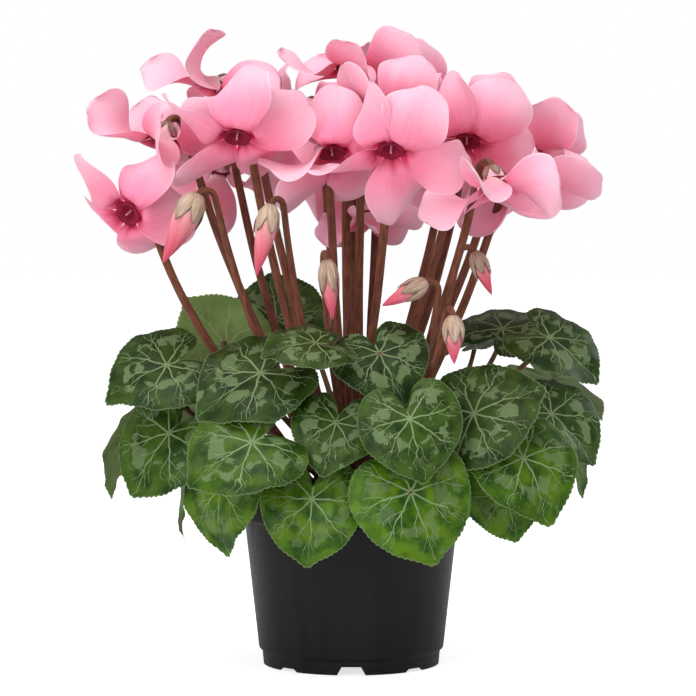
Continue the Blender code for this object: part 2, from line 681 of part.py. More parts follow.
def make_pot():
    pot = add_object("pot", turned(pot_profile(), POT_SEGMENTS), "pot")
    cutters = [notch_cutter(i) for i in range(NOTCHES)]
    for cutter in cutters:
        cut = pot.modifiers.new(cutter.name, "BOOLEAN")
        cut.operation = "DIFFERENCE"
        cut.solver = "EXACT"
        cut.object = cutter
    finished = bpy.data.meshes.new_from_object(pot.evaluated_get(
        bpy.context.evaluated_depsgraph_get()))
    pot.modifiers.clear()
    pot.data = finished
    finished.name = "pot"
    for cutter in cutters:
        bpy.data.objects.remove(cutter)
    return pot


def make_soil():
    """Fills the pot from its floor up, with a seat for the tuber."""
    fit = WALL + FIT_GAP
    seat = []
    for degrees in (90, 66, 42, 20, 4):
        turn = math.radians(degrees)
        radius = (TUBER_RADIUS + FIT_GAP + 0.2) * math.cos(turn)
        depth = (TUBER_DROP + FIT_GAP + 0.2) * math.sin(turn)
        seat.append((0 if degrees == 90 else radius, TUBER_MIDDLE - depth))
    profile = [(0, FLOOR_TOP + FIT_GAP), (FOOT_RADIUS - fit - 1.6, FLOOR_TOP + FIT_GAP),
               (FOOT_RADIUS - fit - 0.3, FLOOR_TOP + 2.4),
               (wall_radius(RIM_BOTTOM - 2) - fit - 0.3, RIM_BOTTOM - 2),
               (wall_radius(RIM_BOTTOM - 2) - fit - 0.3, RIM_BOTTOM + 3),
               (RIM_RADIUS - fit - 2.4, SOIL_EDGE),
               (46, SOIL_EDGE + 2.0), (36, SOIL_CROWN)] + list(reversed(seat))
    shell = turned(profile, SOIL_SEGMENTS)
    return add_object("potting_soil", shell, "soil")


def make_tuber():
    profile = [(0, TUBER_MIDDLE - TUBER_DROP)]
    for degrees in (-66, -42, -20, 0):
        turn = math.radians(degrees)
        profile.append((TUBER_RADIUS * math.cos(turn), TUBER_MIDDLE + TUBER_DROP * math.sin(turn)))
    for degrees in (18, 36, 54, 72):
        turn = math.radians(degrees)
        profile.append((TUBER_RADIUS * math.cos(turn), TUBER_MIDDLE + TUBER_RISE * math.sin(turn)))
    profile.append((0, TUBER_MIDDLE + TUBER_RISE))
    return add_object("tuber", turned(profile, SOIL_SEGMENTS), "tuber")


def make_plant():
    flowers = [(np.array(h, float), unit(a), s, n, b, t) for h, a, s, n, b, t in FLOWERS]
    buds = [(np.array(h, float), unit(a), n, g) for h, a, n, g in BUDS]
    reaches = [f[0][:2] * 0.2 for f in flowers] + [b[0][:2] * 0.22 for b in buds]
    reaches += [np.array(leaf[0][:2], float) * 0.25 for leaf in LEAVES]
    spots = crown_spots(reaches)
    stems = list(zip(flowers, spots))
    tips = list(zip(buds, spots[len(flowers):]))
    blades = list(zip(LEAVES, spots[len(flowers) + len(buds):]))
    knots = [flower_knots(f, s) for f, s in stems] + [bud_knots(b, s) for b, s in tips]
    fields = settle(knots + [leaf_knots(leaf, s) for leaf, s in blades])
    made = 0
    for number, (flower, spot) in enumerate(stems, 1):
        add_object(f"flower_{number:02d}", flower_mesh(flower, spot, fields[made]), "flower")
        made += 1
    for number, (bud, spot) in enumerate(tips, 1):
        add_object(f"bud_{number:02d}", bud_mesh(bud, spot, fields[made]), "bud")
        made += 1
    for number, (leaf, spot) in enumerate(blades, 1):
        add_object(f"leaf_{number:02d}", leaf_mesh(leaf, spot, fields[made]), "leaf")
        made += 1


def main():
    for obj in list(bpy.data.objects):
        bpy.data.objects.remove(obj)
    make_pot()
    make_soil()
    make_tuber()
    make_plant()


main()
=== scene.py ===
# %% [markdown]
# # A potted cyclamen
# A florist's cyclamen grows from one corky tuber that sits half out of the peat. Each flower has
# its own leafless stalk, which hooks over at the top so that the flower nods, and each leaf has
# its own stalk too. The solids are already packed, so this script loads them as a fixed frame
# and grows a finely shaped piece round each. Lengths are in millimetres until a mesh is made.

# %% Load the frame
import json
import math
from collections import namedtuple

import bmesh
import bpy
import numpy as np
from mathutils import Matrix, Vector, kdtree, noise

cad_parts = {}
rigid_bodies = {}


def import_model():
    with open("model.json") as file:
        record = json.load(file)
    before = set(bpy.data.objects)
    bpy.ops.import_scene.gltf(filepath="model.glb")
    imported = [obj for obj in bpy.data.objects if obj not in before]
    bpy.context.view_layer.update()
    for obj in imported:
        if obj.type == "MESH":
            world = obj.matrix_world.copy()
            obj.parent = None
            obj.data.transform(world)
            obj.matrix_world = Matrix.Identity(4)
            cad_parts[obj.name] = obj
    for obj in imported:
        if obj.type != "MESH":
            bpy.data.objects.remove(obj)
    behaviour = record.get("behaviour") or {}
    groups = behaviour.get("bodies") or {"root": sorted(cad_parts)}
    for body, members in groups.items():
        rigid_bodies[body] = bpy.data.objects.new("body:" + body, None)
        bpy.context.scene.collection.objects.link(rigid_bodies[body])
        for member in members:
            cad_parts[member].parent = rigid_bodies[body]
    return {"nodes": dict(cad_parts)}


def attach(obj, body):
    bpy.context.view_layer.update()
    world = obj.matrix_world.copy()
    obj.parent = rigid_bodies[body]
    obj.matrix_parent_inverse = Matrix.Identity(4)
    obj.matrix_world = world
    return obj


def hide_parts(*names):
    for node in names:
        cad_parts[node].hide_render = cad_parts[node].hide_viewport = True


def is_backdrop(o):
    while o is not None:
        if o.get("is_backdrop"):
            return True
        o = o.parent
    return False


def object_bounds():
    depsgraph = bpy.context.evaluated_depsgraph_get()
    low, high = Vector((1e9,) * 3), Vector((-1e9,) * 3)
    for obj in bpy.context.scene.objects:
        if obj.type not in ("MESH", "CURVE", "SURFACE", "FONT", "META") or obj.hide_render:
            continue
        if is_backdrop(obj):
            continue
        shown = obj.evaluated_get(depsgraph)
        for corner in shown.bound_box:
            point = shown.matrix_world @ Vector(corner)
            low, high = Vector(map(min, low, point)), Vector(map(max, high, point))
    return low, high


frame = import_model()
cad_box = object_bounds()
MM = 0.001
print("frame nodes", len(frame["nodes"]), "box", [round(c, 4) for c in cad_box[1] - cad_box[0]])

# %% [markdown]
# ## Camera
# The plant is seen from the front, from just above the rim of the pot. A long lens from over a
# metre away keeps the pot's sides nearly parallel; a short lens close up would swell the front
# flowers.

# %% Camera
LOOK_AT = Vector((-0.0016, 0.0, 0.157))
CAMERA_AWAY = 1.3
CAMERA_RISE = math.radians(1.9)


def new_object(name, data):
    """An object in the scene for a camera, a lamp or a mesh."""
    made = bpy.data.objects.new(name, data)
    bpy.context.scene.collection.objects.link(made)
    return made


camera = new_object("camera", bpy.data.cameras.new("camera"))
camera.data.lens = 135.0
camera.data.sensor_width = 36.0
camera.location = LOOK_AT + CAMERA_AWAY * Vector((0, -math.cos(CAMERA_RISE), math.sin(CAMERA_RISE)))
camera.rotation_euler = (math.pi / 2 - CAMERA_RISE, 0, 0)
bpy.context.scene.camera = camera
print("camera at", [round(c, 3) for c in camera.location])

# %% [markdown]
# ## Node tools
# Finishes are node trees. `Nodes` adds a node and fills or wires its inputs in one call. `Wire`
# stands for one output and can be added to or multiplied like a number, so the long sums of the
# leaf pattern read as sums. Both only save typing: the trees they make are ordinary ones.

# %% Wires
class Wire:
    """One output of a node, which takes part in sums as a number does."""

    def __init__(self, nodes, socket):
        self.nodes = nodes
        self.socket = socket

    def to(self, operation, other=0.0):
        return self.nodes.put("Math", {0: self, 1: other}, operation=operation)

    def __add__(self, other):
        return self.to("ADD", other)

    def __sub__(self, other):
        return self.to("SUBTRACT", other)

    def __rsub__(self, other):
        return self.nodes.put("Math", {0: other, 1: self}, operation="SUBTRACT")

    def __mul__(self, other):
        return self.to("MULTIPLY", other)

    def __truediv__(self, other):
        return self.to("DIVIDE", other)


print("wires ready")

# %% Node trees
class Nodes:
    """A node tree, with short names for the nodes that are used most."""

    def __init__(self, tree):
        self.tree = tree

    def fill(self, sockets, values):
        """Give each named socket a wire, a number or a colour."""
        for name, value in values.items():
            socket = sockets[name]
            if isinstance(value, Wire):
                self.tree.links.new(value.socket, socket)
            else:
                socket.default_value = (*value, 1.0) if socket.type == "RGBA" else value

    def put(self, kind, values=None, out=0, **options):
        """Add a node and give one of its outputs, or all of them by name if out is None."""
        made = self.tree.nodes.new("ShaderNode" + kind)
        for option, value in options.items():
            setattr(made, option, value)
        self.fill(made.inputs, values or {})
        if out is None:
            return {socket.name: Wire(self, socket) for socket in made.outputs}
        return Wire(self, made.outputs[out])

    def ease(self, value, start, end, low=0.0, high=1.0):
        """Smoothly from low to high as value runs from start to end."""
        return self.put("MapRange", {"Value": value, "From Min": start, "From Max": end,
                                     "To Min": low, "To Max": high},
                        interpolation_type="SMOOTHSTEP")

    def mixed(self, share, first, second):
        """A mix of two colours."""
        return self.put("Mix", {0: share, 6: first, 7: second}, out=2, data_type="RGBA")

    def noise(self, vector, scale, detail=2.0, rough=0.5):
        return self.put("TexNoise", {"Vector": vector, "Scale": scale, "Detail": detail,
                                     "Roughness": rough})

    def stretched(self, vector, scale):
        return self.put("VectorMath", {0: vector, 1: scale}, operation="MULTIPLY")

    def bump(self, height, distance):
        return self.put("Bump", {"Height": height, "Distance": distance})

    def attribute(self, name):
        return self.put("Attribute", out="Vector", attribute_name=name)

    def parts(self, vector):
        """The three numbers of a vector."""
        return self.put("SeparateXYZ", {0: vector}, out=None).values()


print("nodes ready")

# %% Groups and finishes
def new_group(name, inputs, outputs):
    """A node group with named sockets: its nodes, its inputs as wires, and its output sockets."""
    tree = bpy.data.node_groups.new(name, "ShaderNodeTree")
    for direction, sockets in (("INPUT", inputs), ("OUTPUT", outputs)):
        for label, kind in sockets.items():
            tree.interface.new_socket(label, in_out=direction, socket_type="NodeSocket" + kind)
    nodes = Nodes(tree)
    given = tree.nodes.new("NodeGroupInput").outputs
    wires = {label: Wire(nodes, given[label]) for label in inputs}
    return nodes, wires, tree.nodes.new("NodeGroupOutput").inputs


def new_finish(name):
    """A material, its nodes and its Principled shader's inputs."""
    finish = bpy.data.materials.new(name)
    finish.use_nodes = True
    return finish, Nodes(finish.node_tree), finish.node_tree.nodes["Principled BSDF"].inputs


print("node tools ready")

# %% [markdown]
# ## Studio
# A cyclamen is mostly thin tissue, so it wants big soft lights: hard light would draw a black
# shadow behind every petal. One wide panel hangs over the plant, a second fills from the front
# left, and a weak one rims the right. The sky is bright in front and dim behind, so that the black
# pot keeps dark sides, and the floor glows a little so that it runs into the white beyond it.
# The plain tone curve keeps the pinks clean, where a film-like one would grey them.

# %% Floor, sky and lights
WHITE = (1.0, 1.0, 1.0)
SKY_FRONT = 0.72
SKY_BACK = 0.30
FLOOR_REACH = 30.0
FLOOR_DROP = 0.0002
FLOOR_GLOW_SEEN = 0.72
FLOOR_GLOW_CAST = 0.15
# Each panel's name, place, width and power.
PANELS = (("overhead_panel", (-0.25, -0.35, 1.5), 1.1, 12.5),
          ("front_panel", (-0.9, -1.5, 0.6), 1.0, 11.0),
          ("rim_panel", (1.2, 0.6, 0.9), 0.7, 6.0))

bpy.context.scene.view_settings.view_transform = "Standard"
for name, place, width, power in PANELS:
    lamp = new_object(name, bpy.data.lights.new(name, "AREA"))
    lamp.data.shape = "DISK"
    lamp.data.size = width
    lamp.data.energy = power
    lamp.location = place
    lamp.rotation_euler = (LOOK_AT - Vector(place)).to_track_quat("-Z", "Y").to_euler()

sky = bpy.data.worlds.new("sky")
sky.use_nodes = True
air = Nodes(sky.node_tree)
background = sky.node_tree.nodes["Background"]
_, backward, _ = air.parts(air.put("TexCoord", out="Generated"))
sky_strength = air.put("MapRange", {"Value": backward, "From Min": -0.4, "From Max": 0.5,
                                    "To Min": SKY_FRONT, "To Max": SKY_BACK})
air.fill(background.inputs, {"Color": WHITE, "Strength": sky_strength})
sky_choice = air.put("MixShader", {0: air.put("LightPath", out="Is Camera Ray"),
                                   1: Wire(air, background.outputs[0]),
                                   2: air.put("Background", {"Color": WHITE})})
air.fill(sky.node_tree.nodes["World Output"].inputs, {"Surface": sky_choice})
bpy.context.scene.world = sky

floor_paint, paint, floor_shader = new_finish("floor_paint")
floor_glow = paint.put("MapRange", {"Value": paint.put("LightPath", out="Is Camera Ray"),
                                    "To Min": FLOOR_GLOW_CAST, "To Max": FLOOR_GLOW_SEEN})
paint.fill(floor_shader, {"Base Color": (0.75, 0.75, 0.75), "Roughness": 0.9,
                          "Specular IOR Level": 0.1, "Emission Color": WHITE,
                          "Emission Strength": floor_glow})
floor = new_object("floor", bpy.data.meshes.new("floor"))
floor.data.from_pydata([(x * FLOOR_REACH, y * FLOOR_REACH, -FLOOR_DROP)
                        for x, y in ((-1, -1), (1, -1), (1, 1), (-1, 1))], [], [(0, 1, 2, 3)])
floor.data.materials.append(floor_paint)
floor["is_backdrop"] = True
print("lights", sum(o.type == "LIGHT" for o in bpy.data.objects))

# %% [markdown]
# ## The plan of the plant
# Every flower, bud and leaf is one row: where its head or its leaf joint sits, which way it faces,
# and its size. Rows like these are quicker to adjust than modelled pieces, because a piece can be
# regrown from its row in a moment. The rows are the ones that the frame's solids were grown from.

# %% Rows for flowers, buds and leaves
# Flowers: head place, direction the mouth faces, spin, petal length, sweep-back of the five petals,
# petal twist.
FLOWERS = (
    ((-103, -34, 227), (-0.45, -0.75, -0.45), 68, 35, (54, 5, 37, 45, 50), 25),
    ((-90, -18, 267), (-0.25, -0.35, -0.90), 13, 38, (50, -25, 5, 58, 45), 60),
    ((-60, 12, 292), (-0.65, -0.30, -0.65), 33, 38, (30, 5, -28, 30, 38), 76),
    ((-53, -57, 266), (-0.10, -0.52, -0.85), 17, 39, (40, 62, 22, -10, 28), 40),
    ((-23, 50, 281), (-0.25, -0.45, -0.85), 28, 36, (38, 4, 31, 50, 45), 60),
    ((-10, -36, 260), (0.10, -0.50, -0.86), 12, 37, (0, 74, -28, -26, 0), 44),
    ((-2, 8, 305), (0.05, -0.35, -0.93), 13, 35, (12, -25, 2, 25, 31), 60),
    ((8, -19, 283), (0.10, -0.35, -0.93), 31, 36, (36, 11, 7, 47, 45), 60),
    ((53, 27, 284), (-0.20, -0.35, -0.90), 24, 35, (36, -15, 8, 60, 60), 60),
    ((22, 65, 293), (0.02, -0.05, -1.00), -27, 40, (88, 68, 65, 79, 64), 34),
    ((55, -32, 265), (-0.05, -0.55, -0.83), 45, 38, (45, 62, 25, -10, 4), 44),
    ((86, 12, 264), (0.05, -0.30, -0.95), 59, 36, (25, -5, 20, 49, 41), 60),
    ((86, -11, 246), (0.30, -0.25, -0.92), 42, 37, (-21, -45, -17, 20, 7), 60),
    ((66, -64, 244), (0.20, -0.35, -0.92), 40, 36, (-35, -17, -12, 20, 21), 60),
    ((19, -67, 260), (-0.05, -0.55, -0.83), 58, 37, (28, 62, -5, -29, -8), 44),
    ((8, 25, 231), (0.10, -0.20, -0.97), 27, 25, (-10, -29, -26, -15, -10), 60),
    ((-66, 48, 254), (-0.30, 0.45, -0.85), 10, 36, (10, -20, 0, 40, 45), 60),
    ((-12, 82, 256), (0.05, 0.60, -0.80), 26, 36, (0, -20, 0, 40, 50), 60),
    ((64, 62, 252), (0.35, 0.45, -0.85), 36, 36, (-2, -18, 0, 40, 50), 60),
)
# Buds: head place, direction the tip points, length, girth.
BUDS = (
    ((-73, -62, 231), (-0.45, -0.15, -0.9), 36, 6.5),
    ((-38, -70, 226), (-0.20, -0.20, -1.0), 34, 5.2),
    ((-12, -62, 199), (0.10, -0.15, -1.0), 28, 4.4),
    ((35, -62, 190), (-0.85, -0.25, -0.45), 24, 4.6),
    ((47, -84, 174), (0.02, -0.20, -1.0), 22, 4.6),
    ((60, -34, 204), (0.35, -0.20, -0.9), 22, 4.0),
)
# Leaves: petiole's join with the blade, direction of the tip, upper face, length, sway.
LEAVES = (
    ((-89, -42, 150), (-0.90, -0.25, -0.30), (-0.20, -0.70, 0.70), 31, 0),
    ((-43, -65, 146.5), (-0.85, -0.35, -0.40), (-0.15, -0.65, 0.75), 34, 60),
    ((-16, -76, 160), (-0.80, -0.40, 0.00), (0.05, -0.45, 0.90), 25, 120),
    ((-63, 8, 158), (-0.60, 0.10, 0.75), (-0.35, 0.70, 0.55), 28, 30),
    ((-46, -88, 116), (-0.85, -0.35, -0.35), (-0.10, -0.75, 0.65), 33, 200),
    ((-7, -84, 127), (-0.25, -0.50, -0.80), (0.00, -0.80, 0.55), 24, 20),
    ((27, -88, 127), (0.22, -0.40, -0.90), (-0.05, -0.88, 0.45), 28, 90),
    ((58, -70, 128), (0.80, -0.15, 0.45), (-0.20, -0.75, 0.60), 33, 140),
    ((97, -20, 162), (0.80, -0.30, -0.45), (0.25, -0.60, 0.75), 29, 10),
    ((76, 14, 166), (0.45, 0.50, 0.35), (-0.10, -0.55, 0.85), 28, 80),
    ((96, -50, 128), (0.75, -0.30, -0.60), (0.35, -0.75, 0.55), 29, 230),
    ((80, -76, 108), (0.45, -0.40, -0.80), (0.15, -0.85, 0.50), 30, 310),
    ((72, -56, 93), (0.30, -0.10, -0.95), (0.25, -0.95, 0.10), 24, 50),
    ((28, -88, 93), (0.35, -0.25, -0.90), (0.05, -0.93, 0.35), 33, 170),
    ((-19, -84, 90), (-0.10, -0.35, -0.90), (-0.10, -0.93, 0.35), 29, 260),
    ((-64, -60, 95), (-0.15, -0.20, -0.97), (-0.70, -0.65, 0.25), 30, 350),
    ((-88, -40, 117), (-0.62, -0.20, -0.75), (-0.35, -0.75, 0.50), 33, 100),
    ((-112, 2, 112), (-0.50, 0.05, -0.85), (-0.85, 0.30, 0.50), 28, 180),
    ((-82, 2, 130), (-0.80, 0.30, -0.45), (-0.30, 0.20, 0.90), 25, 40),
    ((13, -70, 159), (0.35, -0.60, -0.65), (0.00, -0.70, 0.70), 27, 280),
    ((-38, 42, 170), (-0.15, 0.45, 0.85), (-0.10, -0.90, 0.35), 30, 75),
    ((96, 50, 102), (0.50, 0.30, -0.80), (0.80, 0.40, 0.45), 29, 220),
    ((103, 0, 112), (0.65, -0.20, -0.75), (0.75, -0.20, 0.65), 29, 300),
    ((-84, 18, 88), (-0.30, 0.05, -0.95), (-0.90, -0.10, 0.35), 26, 20),
    ((103, 32, 140), (0.85, 0.30, -0.40), (0.35, 0.25, 0.90), 32, 110),
    ((64, 62, 158), (0.60, 0.65, 0.25), (-0.25, -0.15, 0.95), 31, 200),
    ((66, 84, 120), (0.40, 0.60, -0.70), (0.40, 0.60, 0.75), 32, 290),
    ((12, 62, 154), (0.10, 0.90, 0.35), (0.00, -0.30, 0.95), 31, 15),
    ((6, 90, 116), (0.00, 0.65, -0.75), (0.00, 0.75, 0.65), 33, 95),
    ((-40, 60, 156), (-0.35, 0.80, 0.30), (0.10, -0.20, 0.95), 31, 175),
    ((-60, 84, 122), (-0.45, 0.55, -0.70), (-0.40, 0.60, 0.70), 32, 255),
    ((-92, 50, 150), (-0.85, 0.40, -0.25), (-0.25, 0.25, 0.95), 31, 335),
)
print(len(FLOWERS), "flowers", len(BUDS), "buds", len(LEAVES), "leaves")

# %% [markdown]
# ## Curves and directions
# A few small vector tools do most of the shaping. `across` keeps a frame square to a curve without
# twisting it, `bezier` draws every stalk, and `smooth` eases one shape into the next.

# %% Vector helpers
def unit(vector):
    vector = np.asarray(vector, float)
    return vector / np.linalg.norm(vector)


def across(vector, axis):
    """The part of vector that is square to axis, as a unit vector."""
    vector = np.asarray(vector, float)
    return unit(vector - np.dot(vector, axis) * axis)


def bezier(start, lead, trail, end, count):
    t = np.linspace(0.0, 1.0, count)[:, None]
    return (start * (1 - t) ** 3 + 3 * lead * t * (1 - t) ** 2
            + 3 * trail * t * t * (1 - t) + end * t ** 3)


def smooth(t):
    t = np.clip(t, 0.0, 1.0)
    return t * t * (3 - 2 * t)


print("ease at a quarter", float(smooth(0.25)))

# %% [markdown]
# ## Where the stalks spring from
# All the stalks rise from the tuber's crown. Each starts on the side nearest its own head, and
# the starts are then pushed apart to an even pitch, as the growing points crowd each other.

# %% Crown of the tuber
FIT_GAP = 0.3
TUBER_RADIUS = 30.0
TUBER_MIDDLE = 81.0
TUBER_RISE = 15.0
TUBER_DROP = 20.0
CROWN_RADIUS = 26.5
CROWN_PITCH = 5.6
SPREAD_ROUNDS = 300
SPREAD_STEP = 0.35
# How far towards its own head or leaf, seen from above, each stalk's foot lies.
FLOWER_SHARE, BUD_SHARE, LEAF_SHARE = 0.2, 0.22, 0.25


def crown_height(radius):
    return TUBER_MIDDLE + TUBER_RISE * math.sqrt(max(0.0, 1 - (radius / TUBER_RADIUS) ** 2))


def crown_spots(reaches):
    """Springing points on the tuber: each towards its own head, then spread to an even pitch."""
    spots = np.array(reaches, float)
    for _ in range(SPREAD_ROUNDS):
        gap = spots[:, None] - spots[None]
        far = np.linalg.norm(gap, axis=2) + np.eye(len(spots)) * 99
        push = np.clip(CROWN_PITCH - far, 0, None) / far
        spots += SPREAD_STEP * (gap * push[:, :, None]).sum(axis=1)
        reach = np.linalg.norm(spots, axis=1)
        spots *= np.minimum(1.0, CROWN_RADIUS / np.maximum(reach, 1e-6))[:, None]
    return spots


def spring(spot, rise):
    """Start point on the crown, and the crown's own outward direction there."""
    radius = float(np.linalg.norm(spot))
    height = crown_height(radius)
    normal = unit((spot[0] / TUBER_RADIUS ** 2, spot[1] / TUBER_RADIUS ** 2,
                   (height - TUBER_MIDDLE) / TUBER_RISE ** 2))
    return np.array((spot[0], spot[1], height)) + normal * rise, normal


flowers = [(np.array(h, float), unit(a), s, n, b, t) for h, a, s, n, b, t in FLOWERS]
buds = [(np.array(h, float), unit(a), n, g) for h, a, n, g in BUDS]
spots = crown_spots([f[0][:2] * FLOWER_SHARE for f in flowers]
                    + [b[0][:2] * BUD_SHARE for b in buds]
                    + [np.array(leaf[0][:2], float) * LEAF_SHARE for leaf in LEAVES])
BUD_START = len(flowers)
LEAF_START = BUD_START + len(buds)
flower_spots, bud_spots, leaf_spots = np.split(spots, (BUD_START, LEAF_START))
print("crown spots", len(spots), "out to", np.linalg.norm(spots, axis=1).max().round(1), "mm")

# %% [markdown]
# ## Hooked stalks
# A cyclamen's stalk comes up nearly straight, then turns over in a tight hook and holds the
# flower upside down. The hook is a short arc beside the head, and one long bezier falls from it
# to the crown, so the two meet without a kink.

# %% Stalk paths
HOOK_RADIUS = 5.0
OUTWARD_LEAN = 0.003
LEAF_THICK = 0.8


def hooked_path(head, axis, spot, steps, hook_steps):
    """Head first: back over the hook, then down to the crown."""
    base, normal = spring(spot, FIT_GAP)
    down = unit((-OUTWARD_LEAN * head[0], -OUTWARD_LEAN * head[1], -1.0))
    side = across(down, axis)
    turn = math.atan2(float(side @ down), -float(axis @ down))
    phi = np.linspace(0.0, turn, hook_steps + 1)[:, None]
    centre = head + side * HOOK_RADIUS
    arc = centre - side * HOOK_RADIUS * np.cos(phi) - axis * HOOK_RADIUS * np.sin(phi)
    leave = unit(side * math.sin(turn) - axis * math.cos(turn))
    run = np.linalg.norm(arc[-1] - base)
    drop = bezier(arc[-1], arc[-1] + leave * run * 0.5, base + normal * run * 0.3, base, steps + 1)
    return np.vstack((arc, drop[1:]))


def petiole_path(leaf, spot, steps):
    """A leaf's own stalk, from under the blade down to the crown."""
    join, tip, upper = leaf[:3]
    along = unit(tip)
    lift = across(upper, along)
    join = np.array(join, float) + along - lift * LEAF_THICK
    arrive = unit(0.75 * lift + 0.55 * along + np.array((0.0, 0.0, 0.35)))
    base, normal = spring(spot, FIT_GAP)
    run = np.linalg.norm(join - base) * 0.38
    return bezier(join, join - arrive * run, base + normal * run, base, steps + 1)


print("first stalk", len(hooked_path(*flowers[0][:2], flower_spots[0], 8, 4)), "points")

# %% [markdown]
# ## How a petal lies
# The five lobes leave the mouth forwards, bend round and sweep back over the calyx, each turned a
# little like a propeller blade. One line down the middle carries a side direction and a face
# direction, so the same line can give the quick shape for spacing and the fine one for looks.
# `Habit` adds what differs from petal to petal, in degrees: more twist, a curled tip, a lean.

# %% Petal lines
PETALS = 5
PETAL_WIDTH = 0.39
PETAL_ROOT = 2.7
PETAL_WIDEST = 0.58
WAIST_HEIGHT = 8.5
WAIST_RADIUS = 4.8
LINE_STEPS = 40
MOUTH_ANGLE = -45.0
ARCH = 22.0


Habit = namedtuple("Habit", "twist curl lean", defaults=(0.0, 0.0, 0.0))


def flower_frame(axis):
    """Two directions square to a flower's axis, from which its petals are counted."""
    right = across((1.0, 0.0, 0.0) if abs(axis[0]) < 0.9 else (0.0, 0.0, 1.0), axis)
    return right, np.cross(axis, right)


def petal_line(flower, k, habit=Habit()):
    """Centre line of petal k: share along it, places, side and face directions."""
    head, axis, spin, length, sweep, turn = flower
    right, front = flower_frame(axis)
    azimuth = math.radians(spin + 360.0 / PETALS * k)
    radial = right * math.cos(azimuth) + front * math.sin(azimuth)
    u = np.linspace(0.0, 1.0, LINE_STEPS + 1)
    angle = MOUTH_ANGLE + (sweep[k] - MOUTH_ANGLE) * smooth(u / 0.3) + ARCH * u
    angle = np.radians(angle + habit.curl * smooth((u - 0.45) / 0.55))
    along = radial * np.cos(angle)[:, None] - axis * np.sin(angle)[:, None]
    face = -radial * np.sin(angle)[:, None] - axis * np.cos(angle)[:, None]
    side = np.cross(along, face)
    lean = np.radians(habit.lean * smooth((u - 0.2) / 0.8))[:, None]
    along = along * np.cos(lean) + side * np.sin(lean)
    side = np.cross(along, face)
    twist = np.radians((turn + habit.twist) * smooth(u * 1.2))[:, None]
    turned = side * np.cos(twist) + face * np.sin(twist)
    face = face * np.cos(twist) - side * np.sin(twist)
    steps = along * (length / LINE_STEPS)
    start = head + axis * WAIST_HEIGHT + radial * WAIST_RADIUS
    places = start + np.vstack((np.zeros(3), np.cumsum((steps[1:] + steps[:-1]) / 2, axis=0)))
    return u, places, turned, face


def read_line(line, values, u):
    """Values along a line, read at any array of shares."""
    return np.stack([np.interp(u, line, values[:, i]) for i in range(3)], axis=-1)


def petal_knots(flower, k):
    """Fifteen points over the plain petal, for spacing."""
    u = np.repeat((0.2, 0.4, 0.6, 0.8, 0.98), 3)
    v = np.tile((-0.85, 0.0, 0.85), 5)
    line, places, side, face = petal_line(flower, k)
    full = PETAL_WIDTH * flower[3]
    grow = PETAL_ROOT + (full - PETAL_ROOT) * smooth(u / PETAL_WIDEST) ** 0.85
    past = (u - PETAL_WIDEST) / (1 - PETAL_WIDEST)
    close = full * np.sqrt(np.clip(1 - past ** 2, 0, 1))
    half = np.where(u < PETAL_WIDEST, grow, close)[:, None]
    v = v[:, None]
    return (read_line(line, places, u) + read_line(line, side, u) * v * half
            - read_line(line, face, u) * 0.22 * half * (1 - v ** 2))


print("petal of", flowers[0][3], "mm ends", np.round(petal_line(flowers[0], 0)[1][-1], 0))

# %% [markdown]
# ## How a leaf blade lies
# The blade is heart-shaped, with the stalk meeting it at the bottom of the notch. Points are
# named by their angle from the tip and their share of the way to the margin, so veins, bulges and
# margin teeth can all be written as plain functions of the two. The blade folds a little along
# its midrib, arches down towards its margin, and waves.

# %% Leaf blades
LEAF_FOLD = 0.22
LEAF_DROOP = 0.20
LEAF_TIP_DROOP = 0.10
LEAF_SIDE_DROOP = 0.14
LEAF_WAVE = 0.035
HEART = ((0, 1.0), (22, 0.93), (45, 0.88), (75, 0.87), (105, 0.88), (130, 0.87), (150, 0.76),
         (163, 0.55), (172, 0.30), (180, 0.16))
HEART_ANGLES, HEART_REACHES = np.array(HEART, float).T


def heart(angle):
    """Reach of the outline at an angle from its tip, in leaf lengths."""
    return np.interp(np.abs(angle), HEART_ANGLES, HEART_REACHES)


def leaf_height(x, y, reach, turn, sway):
    """Height of the plain blade over its own plane, all in leaf lengths."""
    ridge = LEAF_FOLD * (np.sqrt(y * y + 0.01) - 0.1)
    droop = LEAF_DROOP * (x * x + y * y) + LEAF_SIDE_DROOP * y * y
    droop = droop + LEAF_TIP_DROOP * np.clip(x, 0, None) ** 2
    return ridge - droop + LEAF_WAVE * reach ** 2 * np.sin(3 * turn + math.radians(sway))


def leaf_frame(leaf):
    """Directions along, across and up from the blade."""
    along = unit(leaf[1])
    lift = across(leaf[2], along)
    return along, np.cross(lift, along), lift


def leaf_places(leaf, x, y, z):
    """Places for points given in leaf lengths."""
    along, side, lift = leaf_frame(leaf)
    return (np.array(leaf[0], float) + leaf[3] * (x[..., None] * along + y[..., None] * side
                                                  + z[..., None] * lift))


def blade_knots(leaf):
    """Points over the plain blade, for spacing."""
    turn = np.radians(np.concatenate(([0.0], np.arange(6) * 60.0 - 150, np.arange(12) * 30.0 - 165,
                                      np.arange(18) * 20.0 - 170)))
    reach = np.repeat((0.0, 0.36, 0.68, 0.97), (1, 6, 12, 18))
    out = heart(np.degrees(turn)) * reach
    x, y = out * np.cos(turn), out * np.sin(turn)
    return leaf_places(leaf, x, y, leaf_height(x, y, reach, turn, leaf[4]))


print("blade knots", len(blade_knots(LEAVES[0])))

# %% [markdown]
# ## Settling
# Nearly sixty pieces grown from rows would cut through each other. Real ones push each other
# aside while they grow. Each piece is given a few dozen knots with a little room round each; knots
# of different pieces that press are pushed apart, and each piece's own pushes are smoothed so that
# it bends instead of crumpling. `bent` then carries a fine mesh along with its knots.

